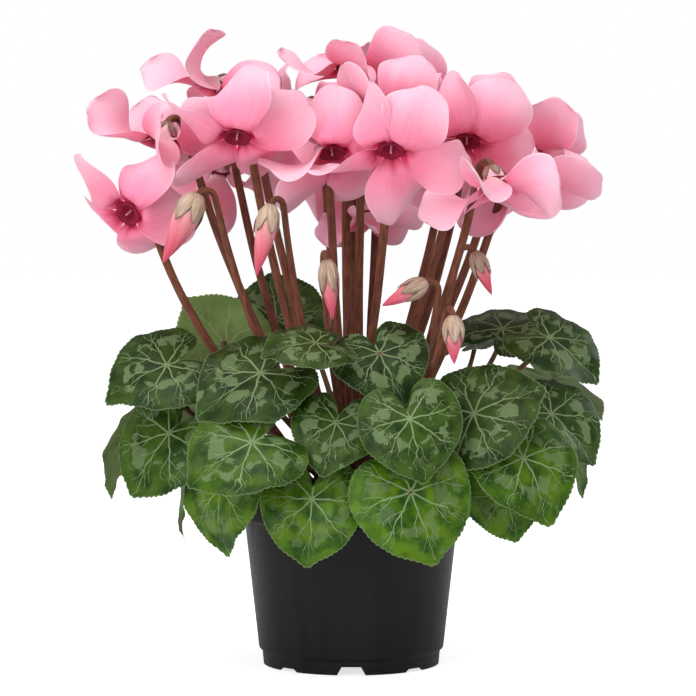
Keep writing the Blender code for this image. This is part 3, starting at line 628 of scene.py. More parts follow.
# %% Knots of each piece
RIM_RADIUS = 60.0
RIM_TOP = 87.0
PETAL_ROOM = 2.9
LEAF_ROOM = 3.4
STALK_ROOM = 2.6
POT_ROOM = 4.0
SETTLE_ROUNDS = 200
ROUNDS_PER_SEARCH = 5
SETTLE_STEP = 0.7
MOST_PUSH = 3.0
STIFF_PASSES = 3
STIFFNESS = 0.45
BEND_SOFTNESS = 6.0


def flower_knots(flower, spot):
    path = hooked_path(flower[0], flower[1], spot, 17, 3)
    petals = [petal_knots(flower, k) for k in range(PETALS)]
    rooms = [STALK_ROOM] * len(path) + [PETAL_ROOM] * sum(len(p) for p in petals)
    return np.vstack([path] + petals), rooms, len(path) - 1


def bud_knots(bud, spot):
    path = hooked_path(bud[0], bud[1], spot, 17, 3)
    body = np.array([bud[0] + bud[1] * bud[2] * share for share in (0.2, 0.5, 0.8, 1.0)])
    return np.vstack((path, body)), [STALK_ROOM] * len(path) + [bud[3]] * 4, len(path) - 1


def leaf_knots(leaf, spot):
    path = petiole_path(leaf, spot, 17)[1:]
    blade = blade_knots(leaf)
    rooms = [STALK_ROOM * 0.8] * len(path) + [LEAF_ROOM] * len(blade)
    return np.vstack((path, blade)), rooms, len(path) - 1


knots = [flower_knots(f, s) for f, s in zip(flowers, flower_spots)]
knots += [bud_knots(b, s) for b, s in zip(buds, bud_spots)]
knots += [leaf_knots(leaf, s) for leaf, s in zip(LEAVES, leaf_spots)]
print("knots", sum(len(places) for places, _, _ in knots))

# %% Neighbours and the pot
def neighbour_table(pieces, starts):
    """The six nearest knots of the same piece, for keeping each piece stiff."""
    rows = []
    for (knots, _, _), start in zip(pieces, starts):
        gap = np.linalg.norm(knots[:, None] - knots[None], axis=2)
        rows.append(np.argsort(gap, axis=1)[:, 1:7] + start)
    return np.vstack(rows)


def close_pairs(places, owner, reach):
    tree = kdtree.KDTree(len(places))
    for i, place in enumerate(places):
        tree.insert(place, i)
    tree.balance()
    pairs = []
    for i, place in enumerate(places):
        for _, j, _ in tree.find_range(place, reach):
            if j > i and owner[i] != owner[j]:
                pairs.append((i, j))
    return np.array(pairs, int).reshape(-1, 2)


def keep_off_pot(places):
    """Lift or move out any knot that is down in the pot or against its rim."""
    radius = np.linalg.norm(places[:, :2], axis=1)
    top = RIM_TOP + POT_ROOM
    side = RIM_RADIUS + POT_ROOM
    inside = (places[:, 2] < top) & (radius < side) & (radius > CROWN_RADIUS + POT_ROOM)
    up = top - places[:, 2]
    out = side - radius
    lift = inside & (up <= out)
    shove = inside & (up > out)
    move = np.zeros_like(places)
    move[lift, 2] = up[lift]
    move[shove, :2] = places[shove, :2] / radius[shove, None] * out[shove, None]
    return move


print("neighbours of one piece", len(neighbour_table(knots[:1], [0])[0]))

# %% Push neighbours apart
def settle(pieces):
    """Part pieces that press on each other; each keeps its foot and bends smoothly."""
    rest = np.vstack([knots for knots, _, _ in pieces])
    room = np.concatenate([rooms for _, rooms, _ in pieces])
    owner = np.concatenate([[i] * len(p[0]) for i, p in enumerate(pieces)])
    starts = np.cumsum([0] + [len(p[0]) for p in pieces])
    feet = np.array([starts[i] + p[2] for i, p in enumerate(pieces)])
    table = neighbour_table(pieces, starts)
    moved = np.zeros_like(rest)
    pairs = np.zeros((0, 2), int)
    for turn in range(SETTLE_ROUNDS):
        places = rest + moved
        if turn % ROUNDS_PER_SEARCH == 0:
            pairs = close_pairs(places, owner, 2.6 * max(PETAL_ROOM, LEAF_ROOM))
        first, second = pairs[:, 0], pairs[:, 1]
        gap = places[first] - places[second]
        far = np.maximum(np.linalg.norm(gap, axis=1), 0.01)
        press = np.clip(room[first] + room[second] - far, 0, None)
        push = gap * (0.5 * press / far)[:, None]
        step = np.zeros_like(rest)
        np.add.at(step, first, push)
        np.add.at(step, second, -push)
        step += keep_off_pot(places)
        moved += SETTLE_STEP * np.clip(step, -MOST_PUSH, MOST_PUSH)
        for _ in range(STIFF_PASSES):
            moved = (1 - STIFFNESS) * moved + STIFFNESS * moved[table].mean(axis=1)
            moved[feet] = 0.0
    return [(rest[starts[i]:starts[i + 1]], moved[starts[i]:starts[i + 1]])
            for i in range(len(pieces))]


def bent(points, field):
    """Carry points along with the settled knots of their own piece."""
    rest, moved = field
    flat = np.reshape(points, (-1, 3))
    gap = ((flat[:, None] - rest[None]) ** 2).sum(axis=2)
    weight = 1.0 / (gap + BEND_SOFTNESS) ** 2
    carried = (weight[:, :, None] * moved[None]).sum(axis=1) / weight.sum(axis=1)[:, None]
    return (flat + carried).reshape(np.shape(points))


fields = settle(knots)
flower_fields = fields[:BUD_START]
bud_fields = fields[BUD_START:LEAF_START]
leaf_fields = fields[LEAF_START:]
print("furthest pushed", round(max(float(np.abs(m).max()) for _, m in fields), 1), "mm")

# %% [markdown]
# ## Building skins
# Leaves and petals are sheets with two faces and a thin edge. Each is made as a grid of points
# down its middle, pushed out to both sides along the grid's own normals, with the margin shared,
# so it is one closed shell that light can enter and leave. `place` stores where on the petal or
# leaf a point is, and the finishes read it, so patterns grow with the tissue instead of being
# projected on it.

# %% Skins
class Skin:
    """A piece being built: points in millimetres, faces, a finish for each, shader places."""

    def __init__(self):
        self.points = []
        self.places = []
        self.faces = []
        self.finishes = []
        self.count = 0

    def add(self, points, places):
        points = np.asarray(points, float)
        ids = np.arange(self.count, self.count + points[..., 0].size).reshape(points.shape[:-1])
        self.points.append(points.reshape(-1, 3))
        self.places.append(np.broadcast_to(places, points.shape).reshape(-1, 3))
        self.count += ids.size
        return ids

    def quads(self, ids, finish, wrap=False):
        """Faces over a grid of point numbers; wrap closes each row into a ring."""
        after = np.roll(ids, -1, axis=1)
        end = None if wrap else -1
        ids, after = ids[:, :end], after[:, :end]
        faces = np.stack((ids[:-1], after[:-1], after[1:], ids[1:]), axis=-1)
        self.faces.extend(faces.reshape(-1, 4).tolist())
        self.finishes.extend([finish] * (faces.size // 4))

    def fan(self, ring, middle, finish, place=(0.0, 0.0, 0.0)):
        """Close a ring of point numbers with a fan of faces to a new middle point."""
        tip = int(self.add(np.reshape(middle, (1, 3)), place)[0])
        for i, j in zip(ring, np.roll(ring, -1)):
            self.faces.append([int(i), int(j), tip])
            self.finishes.append(finish)


print("skins ready")

# %% Sheets and tubes
def sheet_normals(grid, wrap=False):
    """Unit normals of a grid of points."""
    over = np.gradient(grid, axis=1)
    if wrap:
        over = np.roll(grid, -1, axis=1) - np.roll(grid, 1, axis=1)
    normal = np.cross(np.gradient(grid, axis=0), over)
    return normal / np.maximum(np.linalg.norm(normal, axis=-1, keepdims=True), 1e-9)


def add_sheet(skin, grid, thick, places, upper, under):
    """A closed shell round a sheet whose first row is buried in another piece."""
    normal = sheet_normals(grid)
    offset = normal * thick[..., None] / 2
    top = skin.add(grid + offset, places)
    low = top.copy()
    low[:-1, 1:-1] = skin.add((grid - offset)[:-1, 1:-1], places[:-1, 1:-1])
    skin.quads(top, upper)
    skin.quads(low, under)
    skin.quads(np.stack((top[0], low[0])), under)


def add_tube(skin, path, radii, first_side, sides, finish, seed, field, ridge=0.0):
    """A round stem along a path, closed at both ends."""
    tangents = np.gradient(path, axis=0)
    tangents /= np.linalg.norm(tangents, axis=1)[:, None]
    side = across(first_side, tangents[0])
    turn = np.arange(sides) * 2 * math.pi / sides
    away = np.concatenate(([0.0], np.cumsum(np.linalg.norm(np.diff(path, axis=0), axis=1))))
    rings = []
    places = []
    for place, tangent, radius, run in zip(path, tangents, radii, away):
        side = across(side, tangent)
        other = np.cross(side, tangent)
        spread = radius * (1 + ridge * np.sin(3 * turn + 0.12 * run + seed))[:, None]
        spokes = np.cos(turn)[:, None] * side + np.sin(turn)[:, None] * other
        rings.append(place + spread * spokes)
        runs = np.full(sides, run / 10 + seed)
        places.append(np.stack((runs, np.cos(turn), np.sin(turn)), axis=1))
    rings = bent(np.array(rings), field)
    ids = skin.add(rings, np.array(places))
    skin.quads(ids, finish, wrap=True)
    for end in (0, -1):
        skin.fan(ids[end], rings[end].mean(axis=0), finish, (seed, 0, 0))


print("sheets and tubes ready")

# %% Pieces for the frame
def make_piece(name, skin, finishes, node, tone=(0.0, 0.0, 0.0)):
    """Turn a skin into an object that stands for its solid in the frame."""
    mesh = bpy.data.meshes.new(name)
    faces = [list(dict.fromkeys(face)) for face in skin.faces]
    kept = [i for i, face in enumerate(faces) if len(face) > 2]
    points = np.vstack(skin.points) * MM
    mesh.from_pydata(points.tolist(), [], [faces[i] for i in kept])
    for finish in finishes:
        mesh.materials.append(finish)
    mesh.polygons.foreach_set("material_index", [skin.finishes[i] for i in kept])
    tones = np.tile(tone, (len(points), 1))
    for label, values in (("place", np.vstack(skin.places)), ("tone", tones)):
        stored = mesh.attributes.new(label, "FLOAT_VECTOR", "POINT")
        stored.data.foreach_set("vector", values.astype(np.float32).ravel())
    work = bmesh.new()
    work.from_mesh(mesh)
    bmesh.ops.recalc_face_normals(work, faces=work.faces)
    work.to_mesh(mesh)
    work.free()
    mesh.polygons.foreach_set("use_smooth", [True] * len(mesh.polygons))
    piece = new_object(name, mesh)
    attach(piece, "root")
    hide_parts(node)
    return piece


print("pieces ready")

# %% [markdown]
# ## Grain of living tissue
# Stalks, sepals and petals all show a fine grain that runs along them, where cells lie in files.
# One group makes it from noise drawn out lengthwise. Every tissue uses it, with its own scales.

# %% Lengthwise grain
grain, given, results = new_group("lengthwise_grain",
                                  {"Place": "Vector", "Stretch": "Vector", "Fineness": "Float"},
                                  {"Streaks": "Float", "Mottle": "Float"})
drawn_out = grain.stretched(given["Place"], given["Stretch"])
streaks = grain.noise(drawn_out, given["Fineness"], 3.0, 0.6)
mottle = grain.noise(given["Place"], given["Fineness"])
grain.fill(results, {"Streaks": grain.ease(streaks, 0.3, 0.7),
                     "Mottle": grain.ease(mottle, 0.3, 0.7)})


def grained(nodes, place, stretch, fineness):
    """The grain group, placed in a finish: its streaks and its mottle."""
    made = nodes.put("Group", {"Place": place, "Stretch": stretch, "Fineness": fineness}, out=None,
                     node_tree=grain.tree)
    return made["Streaks"], made["Mottle"]


print("group", grain.tree.name)

# %% [markdown]
# ## Petal colour
# A petal is darkest where it leaves the mouth, a ring of magenta, and pales quickly outwards to
# a clear pink, with a hair-fine pale rim. Fine darker files run down it. The group takes three
# colours, so that the front, the paler reverse and the deep rolled bud can each use their own.

# %% Petal tint
PETAL_RIM = (1.0, 0.80, 0.86)

petal, given, results = new_group("petal_tint",
                                  {"Place": "Vector", "Deep": "Color", "Middle": "Color",
                                   "Pale": "Color", "Flush": "Float"},
                                  {"Color": "Color", "Height": "Float"})
outward, sideways, _ = petal.parts(given["Place"])
streaks, mottle = grained(petal, given["Place"], (1.2, 16.0, 1.0), 1.6)
edge = sideways.to("ABSOLUTE")
reach = outward + mottle * 0.1
tint = petal.mixed(petal.ease(reach / given["Flush"], 0.25, 1.5), given["Deep"], given["Middle"])
tint = petal.mixed(petal.ease(reach + edge * 0.12, 0.3, 1.0), tint, given["Pale"])
veil = streaks * petal.ease(reach, 0.0, 0.9, 0.30, 0.10)
tint = petal.mixed(veil, tint, petal.mixed(0.55, tint, given["Deep"]))
rim = petal.ease(edge, 0.955, 0.995, 0.0, 0.6) * petal.ease(outward, 0.25, 0.65)
petal.fill(results, {"Color": petal.mixed(rim, tint, PETAL_RIM), "Height": streaks})
print("group", petal.tree.name)

# %% Petal finishes
def petal_finish(name, deep, middle, pale, flush, rough):
    """One of the petal's skins."""
    finish, nodes, shader = new_finish(name)
    skin_tint = nodes.put("Group", {"Place": nodes.attribute("place"), "Deep": deep,
                                    "Middle": middle, "Pale": pale, "Flush": flush},
                          out=None, node_tree=petal.tree)
    nodes.fill(shader, {"Base Color": skin_tint["Color"], "Roughness": rough,
                        "Specular IOR Level": 0.2, "Subsurface Weight": 0.25,
                        "Subsurface Radius": (1.0, 0.35, 0.45), "Subsurface Scale": 0.002,
                        "Sheen Weight": 0.05, "Sheen Roughness": 0.4,
                        "Normal": nodes.bump(skin_tint["Height"], 0.00010)})
    return finish


petal_front = petal_finish("petal_front", (0.58, 0.007, 0.07), (0.95, 0.265, 0.41),
                           (0.96, 0.50, 0.62), 0.21, 0.55)
petal_back = petal_finish("petal_back", (0.82, 0.50, 0.54), (0.94, 0.34, 0.475),
                          (0.96, 0.52, 0.63), 0.24, 0.60)
petal_rolled = petal_finish("petal_rolled", (0.85, 0.45, 0.42), (0.88, 0.30, 0.36),
                            (0.74, 0.10, 0.17), 0.5, 0.55)
throat = petal_finish("throat", (0.16, 0.003, 0.02), (0.30, 0.006, 0.04),
                      (0.50, 0.02, 0.08), 0.4, 0.7)
print("finishes", petal_front.name, petal_back.name, petal_rolled.name, throat.name)

# %% [markdown]
# ## Stalks and sepals
# The stalks are red-brown and satin, and the leaf stalks are the same tissue with more green in
# it. The sepals behind each flower are dull mauve-brown, paler to their points, and those on a bud
# are nearly straw; both have pale streaks. All take the lengthwise grain.

# %% Stalk and sepal finishes
def stem_finish(name, dark, light, rough):
    finish, nodes, shader = new_finish(name)
    streaks, mottle = grained(nodes, nodes.attribute("place"), (1.0, 6.0, 6.0), 1.4)
    nodes.fill(shader, {"Base Color": nodes.mixed(mottle * 0.65 + streaks * 0.35, dark, light),
                        "Roughness": nodes.ease(streaks, 0, 1, rough - 0.08, rough + 0.08),
                        "Specular IOR Level": 0.2, "Sheen Weight": 0.06, "Sheen Roughness": 0.5,
                        "Normal": nodes.bump(streaks, 0.0002)})
    return finish


def sepal_finish(name, stretch, fineness, colours, streak_ease, to_points):
    """Sepals pass from dark to light towards their points, or in blotches, under pale streaks."""
    finish, nodes, shader = new_finish(name)
    place = nodes.attribute("place")
    streaks, mottle = grained(nodes, place, stretch, fineness)
    if to_points:
        outward, _, _ = nodes.parts(place)
        mottle = nodes.ease(outward, 0.0, 0.8)
    dark, light, pale = colours
    nodes.fill(shader, {"Base Color": nodes.mixed(nodes.ease(streaks, *streak_ease),
                                                  nodes.mixed(mottle, dark, light), pale),
                        "Roughness": 0.6, "Normal": nodes.bump(streaks, 0.0003)})
    return finish


stalk_skin = stem_finish("stalk_skin", (0.095, 0.027, 0.012), (0.28, 0.088, 0.046), 0.5)
petiole_skin = stem_finish("petiole_skin", (0.09, 0.045, 0.018), (0.24, 0.13, 0.06), 0.5)
calyx_skin = sepal_finish("calyx_skin", (1.0, 9.0, 1.0), 1.5,
                          ((0.20, 0.085, 0.06), (0.42, 0.25, 0.18), (0.66, 0.46, 0.37)),
                          (0.35, 1.0, 0.0, 0.75), True)
bud_sepal = sepal_finish("bud_sepal", (1.0, 8.0, 1.0), 1.4,
                         ((0.36, 0.20, 0.12), (0.60, 0.42, 0.30), (0.80, 0.66, 0.52)),
                         (0.3, 0.9, 0.0, 0.8), False)
print("finishes", stalk_skin.name, petiole_skin.name, calyx_skin.name, bud_sepal.name)

# %% [markdown]
# ## Veins and marbling
# The leaves are what people know a cyclamen by. Eight pale veins fan out from the stalk's join
# and throw short forks, and silver-green patches lie between them half way out, with ragged but
# sharp edges. Painting this would tie it to one leaf. Written as sums on the leaf's own angle and
# reach, with a seed for each leaf, the same group marks every leaf differently.

# %% Bearings from the nearest vein
VEIN_PITCH = 45.0
VEIN_WANDER = 22.0
# Each pair of forks: where it starts along the vein, how far it leans out, how long it is.
FORKS = ((0.36, 0.72, 0.34), (0.62, 0.62, 0.24))

leaf_marks, given, results = new_group(
    "leaf_pattern", {"Place": "Vector", "Seed": "Float", "Width": "Float"},
    dict.fromkeys(("Veins", "Silver", "Margin", "Blotch", "Height"), "Float"))
x, y, share = leaf_marks.parts(given["Place"])
shift = leaf_marks.put("CombineXYZ", {"X": given["Seed"], "Y": given["Seed"]})
shifted = leaf_marks.put("VectorMath", {0: given["Place"], 1: shift}, operation="ADD")
from_join = (x * x + y * y).to("SQRT")
wander = leaf_marks.noise(shifted, 2.6) - 0.5
bearing = y.to("ARCTAN2", x) * (180 / math.pi) + wander * VEIN_WANDER
vein_number = (bearing / VEIN_PITCH).to("ROUND")
off_vein = bearing - vein_number * VEIN_PITCH
off_angle = off_vein * (math.pi / 180)
along_vein = from_join * off_angle.to("COSINE")
beside_vein = from_join * off_angle.to("SINE")
which_side = beside_vein.to("SIGN")
aside = beside_vein.to("ABSOLUTE")
print("veins", round(360 / VEIN_PITCH))

# %% Veins, forks and twigs
def line_mask(distance, half_width):
    """One on a line, falling to nothing just past its half width."""
    return leaf_marks.put("MapRange", {"Value": distance, "From Min": half_width,
                                       "From Max": half_width * 1.7, "To Min": 1.0, "To Max": 0.0})


half_width = leaf_marks.ease(from_join, 0.0, 0.9, 0.0115, 0.0038) * given["Width"]
veins = line_mask(aside, half_width)
for number, (start, lean, length) in enumerate(FORKS):
    jump = (vein_number * (5.1 + number) + which_side * (2.2 + number)).to("SINE")
    past = along_vein - (jump * 0.09 + start)
    bow = past * (lean - past * lean)
    fork = line_mask((aside - bow).to("ABSOLUTE"), half_width * 0.70)
    claw = (aside - (past - length * 0.62) * -0.9).to("ABSOLUTE")
    claw = line_mask((claw - length * 0.30).to("ABSOLUTE"), half_width * 0.5)
    fork = fork.to("MAXIMUM", claw * leaf_marks.ease(past, length * 0.62, length * 0.66))
    ended = leaf_marks.ease(past, length * 0.85, length, 1.0, 0.0)
    veins = veins.to("MAXIMUM", fork * (leaf_marks.ease(past, 0.0, 0.01) * ended))
net = leaf_marks.put("TexVoronoi", {"Vector": shifted, "Scale": 8.5, "Randomness": 0.9},
                     feature="DISTANCE_TO_EDGE", out="Distance")
broken = leaf_marks.ease(leaf_marks.noise(shifted, 5.0, 1.0), 0.52, 0.60)
twigs = line_mask(net, 0.016) * broken * leaf_marks.ease(share, 0.50, 0.75, 0.0, 0.25)
veins = veins.to("MAXIMUM", twigs)
print("forks on each vein", 2 * len(FORKS))

# %% Silver patches and relief
band = leaf_marks.ease(share, 0.30, 0.52) * leaf_marks.ease(share, 0.66, 0.88, 1.0, 0.0)
between = leaf_marks.ease(off_vein.to("ABSOLUTE"), 2.0, 14.0, 0.25, 1.0)
ragged = leaf_marks.noise(shifted, 3.4, 1.0) * 0.72
ragged = ragged + leaf_marks.noise(shifted, 13.0, 3.0, 0.6) * 0.28
pebbled = leaf_marks.noise(shifted, 34.0)
leaf_marks.fill(results, {
    "Veins": veins * leaf_marks.ease(share, 0.93, 0.99, 1.0, 0.0),
    "Silver": leaf_marks.ease(ragged + band * between * 0.20, 0.645, 0.685),
    "Margin": leaf_marks.ease(share, 0.975, 0.992),
    "Blotch": leaf_marks.ease(leaf_marks.noise(shifted, 3.1, 3.0), 0.3, 0.7),
    "Height": pebbled * 0.35 - veins * 0.5})
print("group", leaf_marks.tree.name, "nodes", len(leaf_marks.tree.nodes))

# %% [markdown]
# ## Leaf skins
# The upper skin is dark, satin green; low leaves are a brighter yellow-green. The reverse is
# paler and duller, with the same veins. `tone` gives each leaf its share of yellow, its share of
# silver, and its seed. Higher leaves get more silver: partly the real marbling, partly painted
# sheen where their tops face the overhead panel.

# %% Leaf finishes
def leaf_finish(name, dark, light, fresh, silver, vein, rough, vein_width, silver_share):
    finish, nodes, shader = new_finish(name)
    yellow, silver_and_sheen_share, seed = nodes.parts(nodes.attribute("tone"))
    marks = nodes.put("Group", {"Place": nodes.attribute("place"), "Seed": seed,
                                "Width": vein_width}, out=None, node_tree=leaf_marks.tree)
    colour = nodes.mixed(yellow, nodes.mixed(marks["Blotch"], dark, light),
                         nodes.mixed(marks["Blotch"], *fresh))
    # The silver share is partly the real marbling and partly painted sheen on the higher leaves.
    colour = nodes.mixed(marks["Silver"] * (silver_and_sheen_share * silver_share), colour, silver)
    colour = nodes.mixed(marks["Veins"] * 0.85, colour, vein)
    nodes.fill(shader, {"Base Color": nodes.mixed(marks["Margin"] * 0.6, colour, vein),
                        "Roughness": nodes.ease(marks["Silver"], 0, 1, rough, rough + 0.08),
                        "Specular IOR Level": 0.16, "Subsurface Weight": 0.08,
                        "Subsurface Radius": (0.3, 1.0, 0.15), "Subsurface Scale": 0.0015,
                        "Normal": nodes.bump(marks["Height"], 0.0005)})
    return finish


leaf_top = leaf_finish("leaf_top", (0.007, 0.020, 0.002), (0.026, 0.054, 0.008),
                       ((0.012, 0.055, 0.001), (0.088, 0.185, 0.003)),
                       (0.135, 0.200, 0.085), (0.22, 0.31, 0.145), 0.40, 1.0, 0.8)
leaf_under = leaf_finish("leaf_under", (0.13, 0.20, 0.06), (0.20, 0.27, 0.09),
                         ((0.17, 0.27, 0.05), (0.24, 0.34, 0.08)),
                         (0.20, 0.28, 0.10), (0.30, 0.36, 0.16), 0.55, 1.2, 0.2)
print("leaf finishes", leaf_top.name, leaf_under.name)

# %% [markdown]
# ## The leaves
# Each blade is a fan of rings round the stalk's join. Its outline is the heart from the row,
# rounded off and cut with fine scalloped teeth, and the tissue swells between the veins and
# dips along them, as it does on the real leaf. Every margin waves in its own way, from a seed
# taken from the leaf's number.

# %% Leaf shape
LEAF_SEED = 500
PHASES = (0, 6.3)
LOWEST_LEAF = 88.0
LOW_LEAVES = 46.0
LEAF_COLUMNS = 320
LEAF_TEETH = 64
TOOTH = 0.020
BLADE_THICK = 0.45
UPPER, UNDER, PETIOLE = range(3)
RING_SHARES = np.array((0.05, 0.14, 0.23, 0.32, 0.41, 0.50, 0.59, 0.68, 0.76, 0.83, 0.89, 0.94,
                        0.98, 1.0))
FINE_ANGLES = np.arange(-240.0, 241.0)
ROUNDING = 4.5
bell = np.exp(-(np.arange(-15, 16) / ROUNDING) ** 2)
WRAPPED_ANGLES = np.abs((FINE_ANGLES + 180) % 360 - 180)
ROUND_OUTLINE = np.convolve(heart(WRAPPED_ANGLES), bell / bell.sum(), "same")


def leaf_grid(leaf, chance):
    """Places over the fine blade, and the same points as shader places."""
    degrees_round = np.linspace(-180, 180, LEAF_COLUMNS, endpoint=False)[None]
    reach = RING_SHARES[:, None]
    turn = np.radians(degrees_round)
    # Fine teeth, a slow wobble and the pointed tip shape the outline.
    tooth = TOOTH * (np.abs(np.sin(turn * LEAF_TEETH / 2)) - 0.6) * reach ** 10
    wobble = 0.012 * np.sin(5 * turn + chance.uniform(*PHASES)) * reach
    point = 0.07 * np.exp(-(degrees_round / 8.0) ** 2) * reach ** 3
    out = np.interp(degrees_round, FINE_ANGLES, ROUND_OUTLINE) * reach
    out = out * (1 + tooth + wobble + point)
    x, y = out * np.cos(turn), out * np.sin(turn)
    z = leaf_height(x, y, reach, turn, leaf[4])
    # The tissue swells between the veins, and the margin ripples slowly and finely.
    off_vein = (degrees_round + VEIN_PITCH / 2) % VEIN_PITCH - VEIN_PITCH / 2
    swell = (1 - np.cos(np.radians(off_vein * 360 / VEIN_PITCH))) / 2
    z = z + 0.020 * swell * out * (1.15 - reach)
    z = z + 0.022 * reach ** 5 * np.sin(7 * turn + chance.uniform(*PHASES))
    z = z + 0.012 * reach ** 6 * np.sin(15 * turn + chance.uniform(*PHASES))
    # Broad hollows cross the blade, and two lobes of the margin lift or sink.
    hollows = np.sin(4.5 * x + chance.uniform(*PHASES))
    z = z + 0.016 * hollows * np.sin(5 * y + chance.uniform(*PHASES))
    for _ in range(2):
        towards = math.radians(chance.uniform(40, 160) * chance.choice((-1, 1)))
        lobe = np.clip(np.cos(turn - towards), 0, 1) ** 5
        z = z + chance.uniform(-0.02, 0.12) * lobe * reach ** 4
    return leaf_places(leaf, x, y, z), np.stack((x, y, np.broadcast_to(reach, x.shape)), axis=-1)


print("leaf grid", len(RING_SHARES), "by", LEAF_COLUMNS)

# %% Grow the leaves
def grow_leaf(number, leaf, spot, field):
    chance = np.random.default_rng(LEAF_SEED + number)
    skin = Skin()
    grid, places = leaf_grid(leaf, chance)
    grid = bent(grid, field)
    normal = sheet_normals(grid, wrap=True)
    up = np.sign((normal.mean(axis=(0, 1)) * leaf_frame(leaf)[2]).sum())
    thick = BLADE_THICK * (1 - 0.75 * RING_SHARES ** 8)[:, None, None]
    offset = normal * up * thick / 2
    top = skin.add(grid + offset, places)
    low = top.copy()
    low[:-1] = skin.add((grid - offset)[:-1], places[:-1])
    skin.quads(top, UPPER, wrap=True)
    skin.quads(low, UNDER, wrap=True)
    for ring, sheet, finish in ((top[0], grid + offset, UPPER), (low[0], grid - offset, UNDER)):
        skin.fan(ring, sheet[0].mean(axis=0), finish)
    path = petiole_path(leaf, spot, 26)
    path[0] += leaf_frame(leaf)[2] * 0.7
    radii = np.interp(np.linspace(0, 1, len(path)), (0, 0.06, 0.3, 1), (1.5, 1.2, 1.35, 1.75))
    add_tube(skin, path, radii, leaf_frame(leaf)[0], 12, PETIOLE, number * 1.7, field, 0.04)
    low_down = 1 - smooth((leaf[0][2] - LOWEST_LEAF) / LOW_LEAVES)
    # Lower leaves get more yellow. Higher leaves get a larger silver share: partly the real
    # marbling, partly painted sheen of the overhead panel on their tops.
    tone = (float(np.clip(0.15 + 0.85 * low_down + chance.uniform(-0.15, 0.15), 0, 1)),
            float(np.clip(0.95 - 0.45 * low_down + chance.uniform(-0.1, 0.1), 0, 1)), number * 7.3)
    return make_piece(f"heart_leaf_{number:02d}", skin, (leaf_top, leaf_under, petiole_skin),
                      f"leaf_{number:02d}", tone)


for number, (leaf, spot_of, field) in enumerate(zip(LEAVES, leaf_spots, leaf_fields), 1):
    grow_leaf(number, leaf, spot_of, field)

# %% [markdown]
# ## The flowers
# A flower is a short tube, closed at the back by five sepals, that splits at its mouth into five
# broad lobes. The lobes are sheets along the petal lines. At the mouth each is bent to the tube's
# curve; further out it opens flat, bulges, rolls its margins and ruffles, by amounts of its own.

# %% Petals
FLOWER_SEED = 100
FRONT, BACK, THROAT, CALYX, STALK = range(5)
PETAL_ROWS = 30
PETAL_COLUMNS = 19
PETAL_THICK = 0.42
BLUNT = 0.80


def petal_grid(flower, k, chance):
    """Places over one fine petal, and its shader places."""
    twist, curl, lean, swell, roll, ruffle, phase, seed = chance.uniform(-1, 1, 8)
    habit = Habit(18 * twist, 26 * curl + 6, 9 * lean)
    line, places, side, face = petal_line(flower, k, habit)
    u = np.linspace(0, 1, PETAL_ROWS)[:, None]
    v = np.sin(np.linspace(-1, 1, PETAL_COLUMNS) * math.pi / 2)[None]
    # The outline widens quickly from the root and closes bluntly, a few with a notched tip.
    length = flower[3]
    full = PETAL_WIDTH * length * (1.13 + 0.08 * swell)
    grow = PETAL_ROOT + 0.4 + (full - PETAL_ROOT - 0.4) * smooth(u / PETAL_WIDEST) ** 0.62
    past = np.clip((u - PETAL_WIDEST) / (1 - PETAL_WIDEST), 0, 1)
    half = np.where(u < PETAL_WIDEST, grow, full * np.sqrt(1 - BLUNT * past ** 2))
    row = u - 0.10 * v ** 2 * past ** 2 - 0.03 * past ** 3 * (1 - np.abs(v)) * (swell > 0.3)
    # The root takes the tube's curve, and the lobe cups beyond it.
    tube_sag = -WAIST_RADIUS * (1 - np.sqrt(np.clip(1 - (half / WAIST_RADIUS) ** 2, 0, 1))) / half
    at_root = 1 - smooth(u / 0.22)
    cup = (0.17 + 0.16 * swell) * (1 - at_root) + tube_sag * at_root
    rise = -cup * half * (1 - v ** 2)
    # The margins roll back and ruffle, and the whole lobe waves and is faintly fluted.
    margin = np.clip(np.abs(v) - 0.55, 0, 1) ** 2 / 0.2
    rise = rise + 0.22 * roll * half * margin * smooth((u - 0.15) / 0.5)
    waves = np.sin(2 * math.pi * (1.4 + 0.5 * ruffle) * u + 3 * phase + 1.2 * np.sign(v))
    rise = rise + 0.030 * length * np.abs(v) ** 2.2 * waves * smooth(u / 0.45)
    rise = rise + 0.020 * length * np.sin(2.6 * v + 5.0 * u + 3 * seed) * smooth(u / 0.5)
    fluting = 0.10 * np.sin(11 * v + 2 * seed) * np.sin(math.pi * np.clip(u * 1.2, 0, 1))
    rise = rise + fluting
    grid = (read_line(line, places, row) + read_line(line, side, row) * (v * half)[..., None]
            + read_line(line, face, row) * rise[..., None])
    shader_places = np.stack((np.broadcast_to(u, row.shape), np.broadcast_to(v, row.shape),
                              np.full(row.shape, 4.0 * seed)), axis=-1)
    return grid, shader_places, face[len(face) // 2]


def add_petal(skin, flower, k, field, chance):
    grid, places, reverse = petal_grid(flower, k, chance)
    grid = bent(grid, field)
    if (sheet_normals(grid)[PETAL_ROWS // 2, PETAL_COLUMNS // 2] @ reverse) > 0:
        grid = grid[:, ::-1]
        places = places[:, ::-1]
    u, v = places[..., 0], places[..., 1]
    thick = PETAL_THICK * (1.5 - 0.5 * u) * (1 - 0.8 * np.abs(v) ** 6)
    add_sheet(skin, grid, thick, places, FRONT, BACK)


print("petal points", PETAL_ROWS * PETAL_COLUMNS)

# %% [markdown]
# ## Tube, throat and sepals
# Behind the petals the tube narrows to the stalk. It is a lathe shape turned inside out at the
# mouth, so one skin makes the outside, the lip and the dark throat. The lip flares under the
# roots of the petals, which would else leave a gap round it. Five pointed sepals lie along the
# tube, and a pale style stands just out of the mouth.

